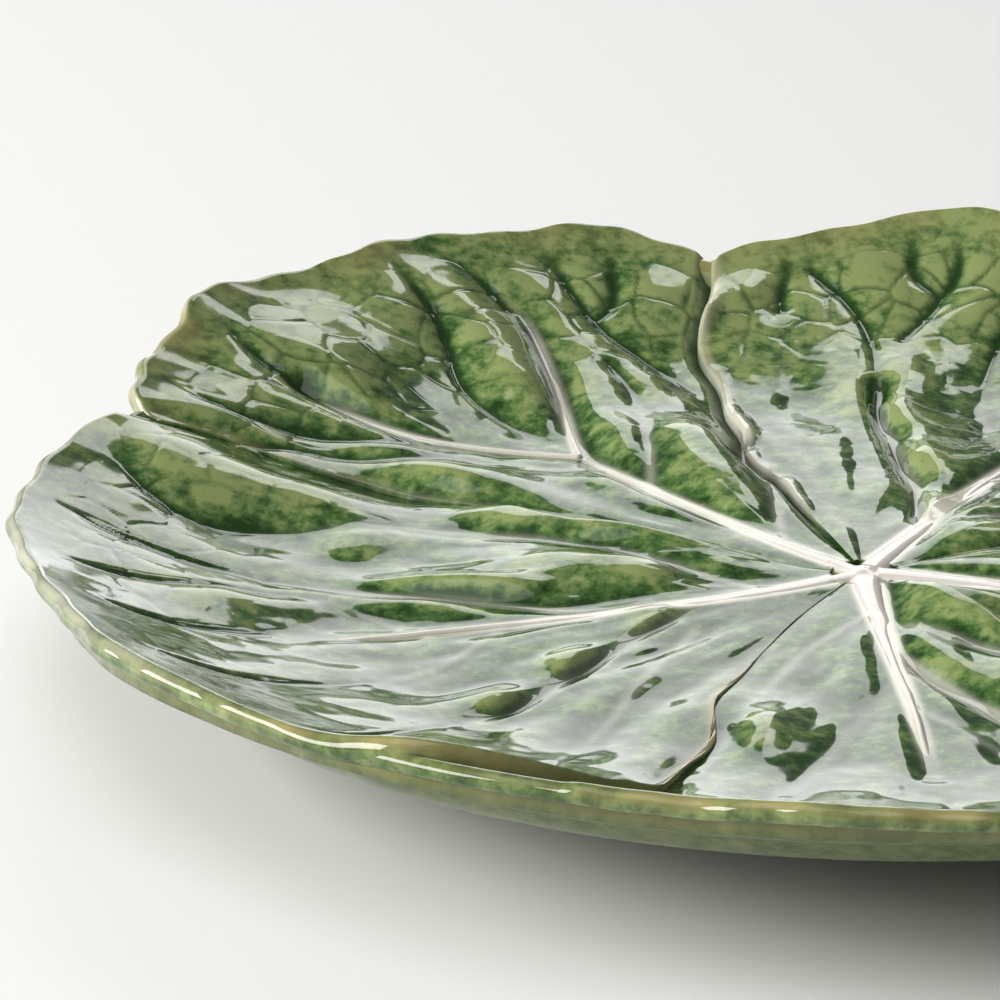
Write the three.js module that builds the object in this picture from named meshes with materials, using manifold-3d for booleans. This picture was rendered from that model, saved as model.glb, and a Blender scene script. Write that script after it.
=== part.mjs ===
// A glazed earthenware plate in the shape of a cabbage leaf.
// Five leaf lobes lie lapped like a pinwheel round a hub, each with a forked midrib on it.
// They are bedded on a smooth under-dish that stands on a foot ring.
// Millimetres, +Z up. The origin is the centre of the outline, on the table.
import * as THREE from 'three';
import { mergeVertices } from 'three/addons/utils/BufferGeometryUtils.js';
import Module from 'manifold-3d';

// Driving dimensions of the leaf
const LEAF_RADIUS = 133; // hub to the rim where the wall reaches RIM_HEIGHT
const RIM_HEIGHT = 28.5; // table to the blade's upper face at LEAF_RADIUS
const FLOOR_HEIGHT = 10; // table to the blade's upper face on the flat floor
const WELL_RADIUS = 70; // the flat floor's radius, where the wall begins to rise
const WALL_CURVE = 1.9; // power of the wall's rise: 1 is a cone, 2 a parabola
const BLADE_THICKNESS = 3;
const PUFF_HEIGHT = 2.6; // how far the blade swells between two veins
const PUFF_SPAN = 15; // distance between veins at which a swelling has its full height
const PUFF_WANE = [0.75, 0.96]; // shares of LEAF_RADIUS between which the swellings flatten
const PUFF_AT_RIM = 0.4; // share of its height that a swelling keeps past them
const JOINT_GAP = 0.3; // clearance between pieces that bed on each other
const BED_MARGIN = 0.5; // how far the room for a rib in the blade reaches past the rib

// Driving dimensions of the laps, where each lobe's far edge lies over the next lobe
const LAP_WIDTH = 6; // how far the lower lobe runs under the upper one
const LAP_EDGE = 1.2; // thickness of the lower lobe's thinned edge
const LAP_CREST = 1; // how far the upper lobe's edge stands up
const LAP_BLEND = 9; // distance over which a lobe comes back to its plain face
const LAP_FULL_RADIUS = 45; // nearer the hub than this the laps narrow with the lobe

// Driving dimensions of the hub and the midribs
const HUB_RADIUS = 7;
const HUB_CROWN = 2.5; // hub's top above the floor
const RIB_WIDTH = 5.4; // midrib's width at the hub
const RIB_TIP_WIDTH = 1.6;
const RIB_HEIGHT = 2.4; // midrib's crest above the blade at the hub
const RIB_TIP_HEIGHT = 0.8;
const FORK_WIDTH = 2.6; // width of a fork where it leaves the midrib
const RIB_SECTION = [[-1, 0.25], [-0.45, 1], [0.45, 1], [1, 0.25]]; // shares of half width and crest

// Driving dimensions of the under-dish and the foot ring
const DISH_THICKNESS = 2.7;
const DISH_EDGE = 1.2; // the under-dish's thickness at its outer edge
const DISH_INSET = 6; // how far the lobes overhang the under-dish
const FOOT_RADIUS = 77; // outer radius of the ring's sole
const FOOT_WIDTH = 7;
const FOOT_CHAMFER = 1;

// Grid sizes of the faceted solids
const LOBE_ROWS = 19;
const LOBE_PLAIN_COLUMNS = 18;
const RIB_STEPS = 10;
const VEIN_STEPS = 10;
const DISH_RINGS = 10;
const ROUND_STEPS = 60;
const HUB_STEPS = 24;
const DOME_STEPS = 6;

// The lobes, anticlockwise. Angles are degrees round the hub.
// seam: angle of the lobe's first edge at the hub, half way out and at the rim.
// rim: outline's distance from LEAF_RADIUS at even steps from the first edge to the last.
// lift: how far the rim's upper face stands above the plain wall, at the same steps.
// corner: width along the rim, and depth, of the rounded corner at the upper edge.
// flare: how much further than LAP_WIDTH the first edge runs under the lobe before it at the rim.
// rib: midrib's angle at the hub, half way and at its tip. ribEnd: that tip's share of LEAF_RADIUS.
// forks: each a start on the midrib, as a share of LEAF_RADIUS, then its end's share and angle.
// veins: the main side veins, between which the blade swells: each a line of such shares and angles.
const LOBES = [
  { name: 'back_left', seam: [108, 108.5, 101.5], corner: [10, 3], flare: 0,
    rim: [-9, 0, 0.5, 0.5, -1, -6, -14], lift: [0, 0, 0, 0, 0, 0, 0],
    rib: [141, 135.5, 131.5], ribEnd: 0.55, forks: [[0.51, 0.87, 121], [0.51, 0.81, 147]],
    veins: [
      [[0.36, 134], [0.47, 124], [0.6, 118], [0.71, 117]],
      [[0.14, 131], [0.27, 114], [0.38, 111], [0.47, 109]],
      [[0.54, 132], [0.74, 132.5], [0.99, 129]],
      [[0.63, 110], [0.77, 114.5], [1, 116]],
      [[0.45, 134], [0.57, 146], [0.78, 160]],
    ] },
  { name: 'left', seam: [168, 157, 168], corner: [16, 30], flare: 0,
    rim: [-14, -8, -8.5, -6.5, -4, -3, -3], lift: [0, 0, 0.5, 2.5, 2.5, 1.5, 4],
    rib: [218, 207.5, 203.5], ribEnd: 0.69, forks: [[0.3, 0.66, 189], [0.2, 0.63, 230]],
    veins: [
      [[0.12, 214], [0.17, 192], [0.24, 179], [0.32, 173], [0.47, 170], [0.68, 176], [0.9, 171]],
      [[0.51, 206], [0.59, 196], [0.69, 193], [0.93, 196]],
      [[0.44, 207], [0.54, 215], [0.69, 217], [0.9, 215]],
      [[0.26, 225], [0.41, 236], [0.59, 242], [0.84, 245]],
    ] },
  { name: 'front', seam: [236, 252, 254], corner: [14, 5], flare: 16,
    rim: [-2, 0, 1, 2.5, 2, -2, -9], lift: [2, 2, 1.5, 1, 1, 0.5, 0.5],
    rib: [275, 277.5, 277.5], ribEnd: 0.58, forks: [[0.3, 0.68, 264], [0.23, 0.69, 296]],
    veins: [
      [[0.13, 275], [0.18, 262], [0.26, 255], [0.38, 254]],
      [[0.39, 277.5], [0.54, 287], [0.75, 291], [0.99, 290]],
      [[0.17, 279], [0.26, 296], [0.39, 306], [0.6, 308]],
    ] },
  { name: 'right', seam: [312, 314, 312], corner: [14, 6], flare: 4,
    rim: [-12, -1, 2, 3, 1.5, -1.5, -8], lift: [0, 0.5, 1.5, 0.5, 1, 1.5, 2],
    rib: [352, 345, 344], ribEnd: 0.69, forks: [[0.26, 0.71, 327], [0.36, 0.74, 3]],
    veins: [
      [[0.11, 350], [0.2, 336], [0.3, 326], [0.48, 320]],
      [[0.18, 349], [0.3, 364], [0.47, 374], [0.69, 380], [0.93, 381]],
      [[0.47, 345], [0.63, 336], [0.81, 335], [0.99, 336]],
      [[0.56, 345], [0.72, 354], [0.98, 356]],
    ] },
  { name: 'back', seam: [28, 30, 26], corner: [10, 3], flare: 4,
    rim: [-12, -2, 2, 1.5, 1, 0, -8], lift: [0, 1, 1.5, 0.5, 0, 0, 0],
    rib: [67, 66.5, 63], ribEnd: 0.69, forks: [[0.14, 0.63, 89], [0.35, 0.74, 45]],
    veins: [
      [[0.15, 67], [0.23, 52], [0.35, 42], [0.53, 37], [0.75, 35]],
      [[0.63, 89], [0.75, 90], [0.9, 95]],
      [[0.44, 66.5], [0.57, 76], [0.72, 78], [0.98, 77]],
      [[0.53, 65], [0.68, 55], [0.84, 53], [1, 54]],
    ] },
];
const LIFT_RADIUS = 100; // the rim's lift starts here and is whole at LEAF_RADIUS
const RIM_SCALLOP = 0.9; // height of the small waves along the rim
const RIM_SCALLOPS = 3.5; // small waves along one lobe's rim

const GLAZE = new THREE.MeshStandardMaterial({ color: 0x5d7a3c, roughness: 0.12, metalness: 0 });
const RIB_GLAZE = new THREE.MeshStandardMaterial({ color: 0xe6e1d2, roughness: 0.15, metalness: 0 });
const UNDER_GLAZE = new THREE.MeshStandardMaterial({ color: 0x6a7a44, roughness: 0.15, metalness: 0 });
const BISCUIT = new THREE.MeshStandardMaterial({ color: 0xd9c7ad, roughness: 0.85, metalness: 0 });

const { clamp, smoothstep, degToRad, euclideanModulo, lerp } = THREE.MathUtils;

// A smooth value through three given at the start, the middle and the end of a run.
function throughThree([first, middle, last], share) {
  const s = clamp(share, 0, 1);
  return first * (1 - s) * (1 - 2 * s) + middle * 4 * s * (1 - s) + last * s * (2 * s - 1);
}

// A smooth value through any number given at even steps of a run.
function throughMany(values, share) {
  const points = values.map((value, step) => new THREE.Vector2(step / (values.length - 1), value));
  return new THREE.SplineCurve(points).getPoint(clamp(share, 0, 1)).y;
}

function polar(radius, angle, height) {
  return new THREE.Vector3(radius * Math.cos(angle), radius * Math.sin(angle), height);
}

// The plain dished face that all the pieces follow: a flat floor, then a wall rising by a power.
function bladeFace(radius) {
  const share = Math.max(0, radius - WELL_RADIUS) / (LEAF_RADIUS - WELL_RADIUS);
  return FLOOR_HEIGHT + (RIM_HEIGHT - FLOOR_HEIGHT) * share ** WALL_CURVE;
}

// Angle, in radians, of the seam before a lobe. The lobe after the last is the first, a turn on.
function seamAngle(index, radius) {
  const turns = Math.floor(index / LOBES.length);
  const { seam } = LOBES[index - turns * LOBES.length];
  const lastTurn = LOBES[0].seam[0];
  const degrees = throughThree(seam, radius / LEAF_RADIUS);
  const wrapped = seam[0] < lastTurn ? degrees + 360 : degrees;
  return degToRad(wrapped + 360 * turns);
}

// The angle that an arc of the given length takes up. Near the hub it narrows with the lobe.
function arcAngle(length, radius) {
  return length / Math.max(radius, LAP_FULL_RADIUS);
}

// How far a lobe's first edge runs under the lobe before it.
function lapWidth(index, radius) {
  const { flare } = LOBES[index % LOBES.length];
  return LAP_WIDTH + flare * smoothstep(radius, WELL_RADIUS, LEAF_RADIUS);
}

// A lobe's outline: its given radii, small scallops, and a rounded corner at the upper edge.
function rimRadius(index, share) {
  const { rim, corner: [width, depth] } = LOBES[index];
  const span = seamAngle(index + 1, LEAF_RADIUS) - seamAngle(index, LEAF_RADIUS);
  const scallop = RIM_SCALLOP * Math.sin(share * RIM_SCALLOPS * 2 * Math.PI + index);
  const toCorner = clamp(1 - ((1 - share) * span * LEAF_RADIUS) / width, 0, 1);
  const cutBack = depth * (1 - Math.sqrt(1 - toCorner ** 2));
  return LEAF_RADIUS + throughMany(rim, share) + scallop - cutBack;
}

// The midribs' plan routes: the trunk, then each fork leaving it in a curve.
function ribRoutes(lobe) {
  const start = HUB_RADIUS + JOINT_GAP;
  const end = lobe.ribEnd * LEAF_RADIUS;
  const trunkAngle = (radius) => degToRad(throughThree(lobe.rib, radius / end));
  const trunk = (share) => {
    const radius = lerp(start, end, share);
    return polar(radius, trunkAngle(radius), 0);
  };
  const forks = lobe.forks.map(([from, to, degrees]) => (share) => {
    const radius = LEAF_RADIUS * lerp(from, to, share);
    const startAngle = trunkAngle(LEAF_RADIUS * from);
    const endAngle = degToRad(degrees - 360 * Math.round((degrees - lobe.rib[1]) / 360));
    return polar(radius, lerp(startAngle, endAngle, share * (2 - share)), 0);
  });
  return { trunk, forks };
}

// The plan lines between which a lobe swells, each with the half width that stays flat along it: the
// midrib and its forks, drawn on to the rim, and the side veins.
function valleyLines(lobe) {
  const { rib, forks, veins } = lobe;
  const routes = ribRoutes(lobe);
  const drawnOn = (route, degrees) => {
    const places = Array.from({ length: RIB_STEPS + 1 }, (_, step) => route(step / RIB_STEPS));
    return [...places, polar(LEAF_RADIUS, degToRad(degrees), 0)];
  };
  const veinPoints = (vein) => {
    const places = vein.map(([share, degrees]) => polar(share * LEAF_RADIUS, degToRad(degrees), 0));
    return new THREE.CatmullRomCurve3(places).getPoints(VEIN_STEPS);
  };
  return [
    { half: RIB_WIDTH / 2, points: drawnOn(routes.trunk, rib.at(-1)) },
    ...forks.map(([, , degrees], number) => {
      const points = drawnOn(routes.forks[number], degrees);
      return { half: FORK_WIDTH / 2, points };
    }),
    ...veins.map((vein) => ({ half: 0, points: veinPoints(vein) })),
  ];
}

// Distance in plan from a point to a line of points, worked out on its chords.
function distanceToLine(points, place) {
  const flat = place.clone().setZ(0);
  const nearest = new THREE.Vector3();
  return points.slice(1).reduce((least, point, number) => {
    new THREE.Line3(points[number], point).closestPointToPoint(flat, true, nearest);
    return Math.min(least, nearest.distanceTo(flat));
  }, Infinity);
}

// A closed solid between an upper and a lower sheet, each rows of points on the same grid.
function slab(upper, lower) {
  const rows = upper.length;
  const columns = upper[0].length;
  const points = [...upper.flat(), ...lower.flat()];
  const at = (row, column, sheet) => sheet * rows * columns + row * columns + column;
  const faces = [];
  const quad = (a, b, c, d) => faces.push(a, b, c, a, c, d);
  for (let row = 0; row < rows - 1; row++) {
    for (let column = 0; column < columns - 1; column++) {
      const corners = [[row, column], [row + 1, column], [row + 1, column + 1], [row, column + 1]];
      quad(...corners.map(([r, c]) => at(r, c, 0)));
      quad(...corners.reverse().map(([r, c]) => at(r, c, 1)));
    }
  }
  for (let row = 0; row < rows - 1; row++) {
    quad(at(row, 0, 1), at(row + 1, 0, 1), at(row + 1, 0, 0), at(row, 0, 0));
    const last = columns - 1;
    quad(at(row + 1, last, 1), at(row, last, 1), at(row, last, 0), at(row + 1, last, 0));
  }
  for (let column = 0; column < columns - 1; column++) {
    quad(at(0, column + 1, 1), at(0, column, 1), at(0, column, 0), at(0, column + 1, 0));
    const last = rows - 1;
    quad(at(last, column, 1), at(last, column + 1, 1), at(last, column + 1, 0), at(last, column, 0));
  }
  return new THREE.BufferGeometry().setFromPoints(points).setIndex(faces);
}

const wasm = await Module();
wasm.setup();

function solidFrom(geometry) {
  const bare = new THREE.BufferGeometry().setAttribute('position', geometry.getAttribute('position'));
  const merged = mergeVertices(bare.setIndex(geometry.index));
  return new wasm.Manifold(new wasm.Mesh({
    numProp: 3,
    vertProperties: merged.getAttribute('position').array,
    triVerts: new Uint32Array(merged.index.array),
  }));
}

function geometryFrom(solid) {
  const { vertProperties, triVerts } = solid.getMesh();
  return new THREE.BufferGeometry()
    .setAttribute('position', new THREE.BufferAttribute(vertProperties, 3))
    .setIndex(new THREE.BufferAttribute(triVerts, 1));
}

// The swelling of a lobe at a place on it: an arch between the nearest two of its valleys and its edges.
function puff(valleys, place, toEdges) {
  const toValleys = valleys.map(({ half, points }) => distanceToLine(points, place) - half);
  const [nearest, second] = [...toValleys, ...toEdges].sort((a, b) => a - b);
  if (nearest <= 0) {
    return 0;
  }
  const span = nearest + second;
  const arch = 1 - (1 - (2 * nearest) / span) ** 2;
  const out = Math.hypot(place.x, place.y) / LEAF_RADIUS;
  const wane = lerp(1, PUFF_AT_RIM, smoothstep(out, ...PUFF_WANE));
  return PUFF_HEIGHT * arch * Math.min(1, span / PUFF_SPAN) * wane;
}

// The columns of a lobe's grid at a radius, from its first edge to its last: each an angle, with the
// heights of its upper and lower faces off the plain face, and the zone of the lobe that it is in.
function lobeColumns(index, radius) {
  const first = seamAngle(index, radius);
  const last = seamAngle(index + 1, radius);
  const near = (length) => first + arcAngle(length, radius);
  const far = (length) => last - arcAngle(length, radius);
  const lap = lapWidth(index, radius);
  const rebate = lapWidth(index + 1, radius) + 2 * JOINT_GAP;
  const full = -BLADE_THICKNESS;
  const thinned = LAP_EDGE - BLADE_THICKNESS;
  const rebated = thinned + JOINT_GAP;
  const crest = LAP_CREST * smoothstep(radius, 2 * HUB_RADIUS, LAP_FULL_RADIUS);
  const column = (zone, angle, top, bottom) => ({ zone, angle, top, bottom });
  const plain = Array.from({ length: LOBE_PLAIN_COLUMNS + 1 }, (_, step) =>
    lerp(near(LAP_BLEND), far(rebate + LAP_BLEND / 2), step / LOBE_PLAIN_COLUMNS));
  return [
    column('lap', near(-lap), thinned, full),
    column('lap', near(-lap / 2), thinned, full),
    column('lap', near(0), thinned, full),
    column('edge', near(LAP_BLEND / 2), thinned / 3, full),
    ...plain.map((angle) => column('blade', angle, 0, full)),
    column('edge', far(rebate + JOINT_GAP), 0, full),
    column('edge', far(rebate), 0, rebated),
    column('edge', far(rebate / 2), crest / 2, rebated),
    column('edge', far(LAP_WIDTH / 3), crest, rebated),
    column('edge', far(0), crest / 2, rebated),
  ];
}

// One leaf lobe. Its first edge is thinned to pass under the lobe before it.
// Its last edge is rebated below and crested above, to lie over the lobe after it.
function lobeGeometry(index) {
  const { lift } = LOBES[index];
  const valleys = valleyLines(LOBES[index]);
  const first = seamAngle(index, LEAF_RADIUS);
  const span = seamAngle(index + 1, LEAF_RADIUS) - first;
  const shares = lobeColumns(index, LEAF_RADIUS).map(({ angle }) => clamp((angle - first) / span, 0, 1));
  const rows = Array.from({ length: LOBE_ROWS + 1 }, (_, row) => shares.map((share, number) => {
    const radius = lerp(HUB_RADIUS + JOINT_GAP, rimRadius(index, share), row / LOBE_ROWS);
    const { zone, angle, top, bottom } = lobeColumns(index, radius)[number];
    const place = polar(radius, angle, bladeFace(radius));
    const rise = throughMany(lift, share) * smoothstep(radius, LIFT_RADIUS, LEAF_RADIUS);
    const lifted = zone === 'lap' ? 0 : rise;
    const toFirst = (angle - seamAngle(index, radius)) * radius;
    const toLast = (seamAngle(index + 1, radius) - angle) * radius;
    const swelling = zone === 'blade' ? puff(valleys, place, [toFirst, toLast]) : 0;
    return {
      upper: place.clone().setZ(place.z + top + lifted + swelling),
      lower: place.clone().setZ(place.z + bottom),
    };
  }));
  const sheet = (side) => rows.map((row) => row.map((pair) => pair[side]));
  const blade = solidFrom(slab(sheet('upper'), sheet('lower')));
  const { trunk, forks } = ribRoutes(LOBES[index]);
  const rooms = [ribRoom(trunk, RIB_WIDTH), ...forks.map((fork) => ribRoom(fork, FORK_WIDTH))];
  return geometryFrom(rooms.reduce((solid, room) => solid.subtract(solidFrom(room)), blade));
}

// A strip along a plan route that tapers to the tip's width, from a height over the plain face to an upper
// side given by its section and its crest's height along the route.
function strip(route, startWidth, endWidth, section, base, crestAt) {
  const upper = [];
  const lower = [];
  for (let step = 0; step <= RIB_STEPS; step++) {
    const share = step / RIB_STEPS;
    const centre = route(share);
    const ahead = route(Math.min(1, share + 1 / RIB_STEPS)).sub(route(Math.max(0, share - 1 / RIB_STEPS)));
    const across = new THREE.Vector3(-ahead.y, ahead.x, 0).normalize();
    const half = lerp(startWidth, endWidth, share) / 2;
    const lift = (offset, rise) => {
      const place = centre.clone().addScaledVector(across, offset * half);
      return place.setZ(bladeFace(Math.hypot(place.x, place.y)) + base + rise);
    };
    upper.push(section.map(([offset, rise]) => lift(offset, rise * crestAt(share))));
    lower.push(section.map(([offset]) => lift(offset, 0)));
  }
  return slab(upper, lower);
}

// A rib: arched above, and bedded on the blade below with the joint's clearance.
function ribStrip(route, width, height) {
  const crestAt = (share) => lerp(height, RIB_TIP_HEIGHT, share);
  return strip(route, width, RIB_TIP_WIDTH, RIB_SECTION, JOINT_GAP, crestAt);
}

// The room for a rib in the blade's swellings: wider than the rib, longer at both ends, and higher.
function ribRoom(route, width) {
  const longer = (share) => {
    const centre = route(clamp(share, 0, 1));
    const past = share < 0.5 ? -BED_MARGIN : BED_MARGIN;
    const onEnd = share <= 0 || share >= 1;
    return onEnd ? centre.setLength(centre.length() + past) : centre;
  };
  const roof = [[-1, 1], [1, 1]];
  return strip(longer, width + 2 * BED_MARGIN, RIB_TIP_WIDTH + 2 * BED_MARGIN, roof, 0, () => 2 * RIB_HEIGHT);
}

// A midrib and its forks as one branching solid.
function ribGeometry(lobe) {
  const { trunk, forks } = ribRoutes(lobe);
  const whole = forks.reduce((solid, fork, number) => {
    const share = lobe.forks[number][0] / lobe.ribEnd;
    const height = lerp(RIB_HEIGHT, RIB_TIP_HEIGHT, share);
    return solid.add(solidFrom(ribStrip(fork, FORK_WIDTH, height)));
  }, solidFrom(ribStrip(trunk, RIB_WIDTH, RIB_HEIGHT)));
  return geometryFrom(whole);
}

// The domed boss that the midribs spring from, standing on the under-dish between the lobes' tips.
function hubGeometry() {
  const seat = FLOOR_HEIGHT - BLADE_THICKNESS;
  const shoulder = FLOOR_HEIGHT + HUB_CROWN / 2;
  const top = FLOOR_HEIGHT + HUB_CROWN;
  const profile = new THREE.Path();
  profile.moveTo(0, seat);
  profile.lineTo(HUB_RADIUS, seat);
  profile.lineTo(HUB_RADIUS, shoulder);
  profile.quadraticCurveTo(HUB_RADIUS, top, 0, top);
  return new THREE.LatheGeometry(profile.getPoints(DOME_STEPS), HUB_STEPS).rotateX(Math.PI / 2);
}

// The under-dish's edge at a bearing from the hub: a smooth line set in from the lobes' outlines.
// It swings between a radius at each seam and one at the middle of each lobe.
function dishRadius(bearing) {
  const marks = LOBES.flatMap(({ rim }, index) => {
    const first = seamAngle(index, LEAF_RADIUS);
    const middle = (first + seamAngle(index + 1, LEAF_RADIUS)) / 2;
    const atSeam = Math.min(rim[0], LOBES.at(index - 1).rim.at(-1));
    return [{ angle: first, offset: atSeam }, { angle: middle, offset: rim[(rim.length - 1) / 2] }];
  });
  marks.push({ ...marks[0], angle: marks[0].angle + 2 * Math.PI });
  const angle = marks[0].angle + euclideanModulo(bearing - marks[0].angle, 2 * Math.PI);
  const next = Math.max(1, marks.findIndex((mark) => mark.angle >= angle));
  const [before, after] = [marks[next - 1], marks[next]];
  const share = smoothstep(angle, before.angle, after.angle);
  return LEAF_RADIUS - DISH_INSET + lerp(before.offset, after.offset, share);
}

// The under-dish's underside, at a plan distance from the hub on a given bearing.
function dishUnderside(radius, angle) {
  const share = smoothstep(radius, WELL_RADIUS, dishRadius(angle));
  const bed = bladeFace(radius) - BLADE_THICKNESS - JOINT_GAP;
  return bed - lerp(DISH_THICKNESS, DISH_EDGE, share);
}

// Gives every point of a turned geometry a new place, from its radius, bearing and height.
function reshape(geometry, place) {
  const position = geometry.getAttribute('position');
  const point = new THREE.Vector3();
  for (let number = 0; number < position.count; number++) {
    point.fromBufferAttribute(position, number);
    const moved = place(Math.hypot(point.x, point.y), Math.atan2(point.y, point.x), point.z);
    position.setXYZ(number, moved.x, moved.y, moved.z);
  }
  return geometry;
}

// The smooth under-dish: a turned disc of unit size whose two faces, at heights 0 and 1, are drawn
// out to the leaf's outline and bent to the wall.
function dishGeometry() {
  const rings = Array.from({ length: DISH_RINGS + 1 }, (_, ring) => ring / DISH_RINGS);
  const underside = rings.map((share) => new THREE.Vector2(share, 0));
  const bed = rings.map((share) => new THREE.Vector2(share, 1)).reverse();
  const disc = new THREE.LatheGeometry([...underside, ...bed], ROUND_STEPS).rotateX(Math.PI / 2);
  return reshape(disc, (share, angle, level) => {
    const radius = share * dishRadius(angle);
    const bedHeight = bladeFace(radius) - BLADE_THICKNESS - JOINT_GAP;
    return polar(radius, angle, level > 0.5 ? bedHeight : dishUnderside(radius, angle));
  });
}

// The foot ring: a flat sole on the table, and a top that follows the under-dish above it.
function footGeometry(centre) {
  const inner = FOOT_RADIUS - FOOT_WIDTH;
  const profile = [
    [inner + FOOT_CHAMFER, 0],
    [FOOT_RADIUS - FOOT_CHAMFER, 0],
    [FOOT_RADIUS, FOOT_CHAMFER],
    [FOOT_RADIUS, Infinity],
    [FOOT_RADIUS - FOOT_WIDTH / 2, Infinity],
    [inner, Infinity],
    [inner, FOOT_CHAMFER],
    [inner + FOOT_CHAMFER, 0],
  ];
  const seatMark = 2 * RIM_HEIGHT; // stands in for the seat's height, which varies round the ring
  const points = profile.map(([radius, height]) => new THREE.Vector2(radius, Math.min(height, seatMark)));
  const ring = new THREE.LatheGeometry(points, ROUND_STEPS).rotateX(Math.PI / 2);
  return reshape(ring, (radius, angle, height) => {
    const place = polar(radius, angle, height).add(centre);
    if (height < RIM_HEIGHT) {
      return place;
    }
    const seat = dishUnderside(Math.hypot(place.x, place.y), Math.atan2(place.y, place.x));
    return place.setZ(seat - JOINT_GAP);
  });
}

function named(name, geometry, material) {
  const mesh = new THREE.Mesh(geometry, material);
  mesh.name = name;
  return mesh;
}

const leaf = new THREE.Group();
LOBES.forEach((lobe, index) => {
  leaf.add(named(`leaf_lobe_${lobe.name}`, lobeGeometry(index), GLAZE));
  leaf.add(named(`midrib_${lobe.name}`, ribGeometry(lobe), RIB_GLAZE));
});
leaf.add(named('rib_hub', hubGeometry(), RIB_GLAZE));
leaf.add(named('under_dish', dishGeometry(), UNDER_GLAZE));

// The foot stands under the middle of the outline, which is a little off the hub.
const outlineCentre = new THREE.Box3().setFromObject(leaf).getCenter(new THREE.Vector3()).setZ(0);
leaf.add(named('foot_ring', footGeometry(outlineCentre), BISCUIT));
leaf.position.copy(outlineCentre).negate();

const plate = new THREE.Group();
plate.add(leaf);

export default plate;
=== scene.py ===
import math
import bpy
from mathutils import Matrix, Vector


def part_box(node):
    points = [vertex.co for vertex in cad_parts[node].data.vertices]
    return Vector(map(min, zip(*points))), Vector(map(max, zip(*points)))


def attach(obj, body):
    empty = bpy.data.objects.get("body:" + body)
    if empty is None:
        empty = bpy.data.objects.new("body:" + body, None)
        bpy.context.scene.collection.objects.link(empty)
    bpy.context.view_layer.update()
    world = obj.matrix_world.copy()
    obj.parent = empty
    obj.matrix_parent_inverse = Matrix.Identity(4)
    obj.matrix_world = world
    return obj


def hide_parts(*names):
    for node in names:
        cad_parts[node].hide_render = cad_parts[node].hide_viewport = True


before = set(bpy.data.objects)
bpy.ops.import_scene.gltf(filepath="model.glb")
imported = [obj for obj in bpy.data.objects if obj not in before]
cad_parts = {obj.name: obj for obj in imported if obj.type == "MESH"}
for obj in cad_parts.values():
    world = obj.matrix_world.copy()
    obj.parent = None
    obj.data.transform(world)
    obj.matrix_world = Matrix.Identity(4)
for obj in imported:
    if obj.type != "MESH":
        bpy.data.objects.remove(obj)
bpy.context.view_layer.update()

from types import SimpleNamespace

import bpy
import numpy as np
from bpy.props import FloatProperty, FloatVectorProperty, PointerProperty
from bpy.types import Operator, Panel, PropertyGroup
from mathutils import Vector

bl_info = {
    "name": "Cabbage plate",
    "version": (1, 0, 0),
    "blender": (4, 5, 0),
    "location": "3D View > Sidebar > Plate",
    "description": "Dresses the packed solids of a glazed cabbage-leaf plate",
    "category": "Mesh",
}

# Lengths are worked out in millimetres round the hub, and become metres in the frame's axes in the mesh.
MM = 0.001
HUB_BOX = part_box("rib_hub")
FOOT_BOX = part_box("foot_ring")
HUB_CENTRE = (np.array(HUB_BOX[0]) + np.array(HUB_BOX[1])) / 2 / MM
FOOT_CENTRE = (np.array(FOOT_BOX[0]) + np.array(FOOT_BOX[1])) / 2 / MM
FOOT_RADIUS = (FOOT_BOX[1][0] - FOOT_BOX[0][0]) / 2 / MM

# The plain dished face and its rim
LEAF_RADIUS = 133.0
RIM_HEIGHT = 28.5
FLOOR_HEIGHT = 10.0
WELL_RADIUS = 70.0
WALL_CURVE = 1.9
BLADE_THICKNESS = 3.0
LIFT_RADIUS = 100.0
RIM_SCALLOP = 0.9
RIM_SCALLOPS = 3.5
RIM_NIBBLE = 0.5
LIP_DEPTH = 2.4
LIP_LEAST_HEIGHT = 1.0
LIP_UNEVEN = 0.25
UNDER_LIFT = 0.7

# The laps between neighbouring lobes. A low lap is full LOW_LAP_DELAY further out than a high one.
LAP_WIDTH = 6.0
LAP_CUT_BACK = 3.0
LAP_DIP = 1.3
LAP_BLEND = 3.0
LAP_DROP = 3.0
LAP_CREST_WIDTH = 1.6
LAP_FULL_RADIUS = 45.0
LOW_LAP_DELAY = 40.0
EDGE_ROUND = 0.1
LAP_ROUND = 0.75
ROLL_SPEED = 1.4

# The ribs and the hub
VALLEY = 0.35
HUB_RADIUS = 7.0
HUB_SKIRT = 2.5
HUB_DEPTH = 2.4
HUB_BLEND = 7
RIB_TIP_WIDTH = 1.1
RIB_TIP_HEIGHT = 0.35
RIB_TIP_SINK = 0.3
RIB_TAPER = 2.2
RIB_SKIRT = 1.7
RIB_SINK = 0.25
RIB_FILLET = 0.9
RIB_FILLET_WIDTH = 3.0
LEAST_CREST = 0.2
CLEAR_OF_RIB = 4.0
CLEAR_OF_EDGE = 6.0

# The folds beside some forks: a row of lenses, each with a furrow at its foot
FOLD_LENSES = 3
FOLD_FRONT = 1.8
FOLD_WIDTH = 4.0
FURROW_PLACE = 0.7
FURROW_WIDTH = 0.9

# The puffs, and the swells where the photo shows green places, each drawn out along the radius
PUFF_SOFTENING = 34
SWELL_LENGTH = 1.7
SWELL_FULL_WIDTH = 8.0
SWELL_BLEND = 3
SWELL_SOFTENING = 60
HEAVE_BEHIND = 0.65
HEAVE_HEIGHT = 0.21
HEAVE_SOFTENING = 110

# Side veins and the net of cells near the rim
RIDGE_WIDTH = 1.2
GROOVE_WIDTH = 1.0
NET_BEND = 1.6
NET_DOME = 0.08
NET_LINE_DEPTH = 0.16
NET_LINE_WIDTH = 0.7

# The radius at which arcs round the plate are measured
ARC_RADIUS = 70.0

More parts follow.
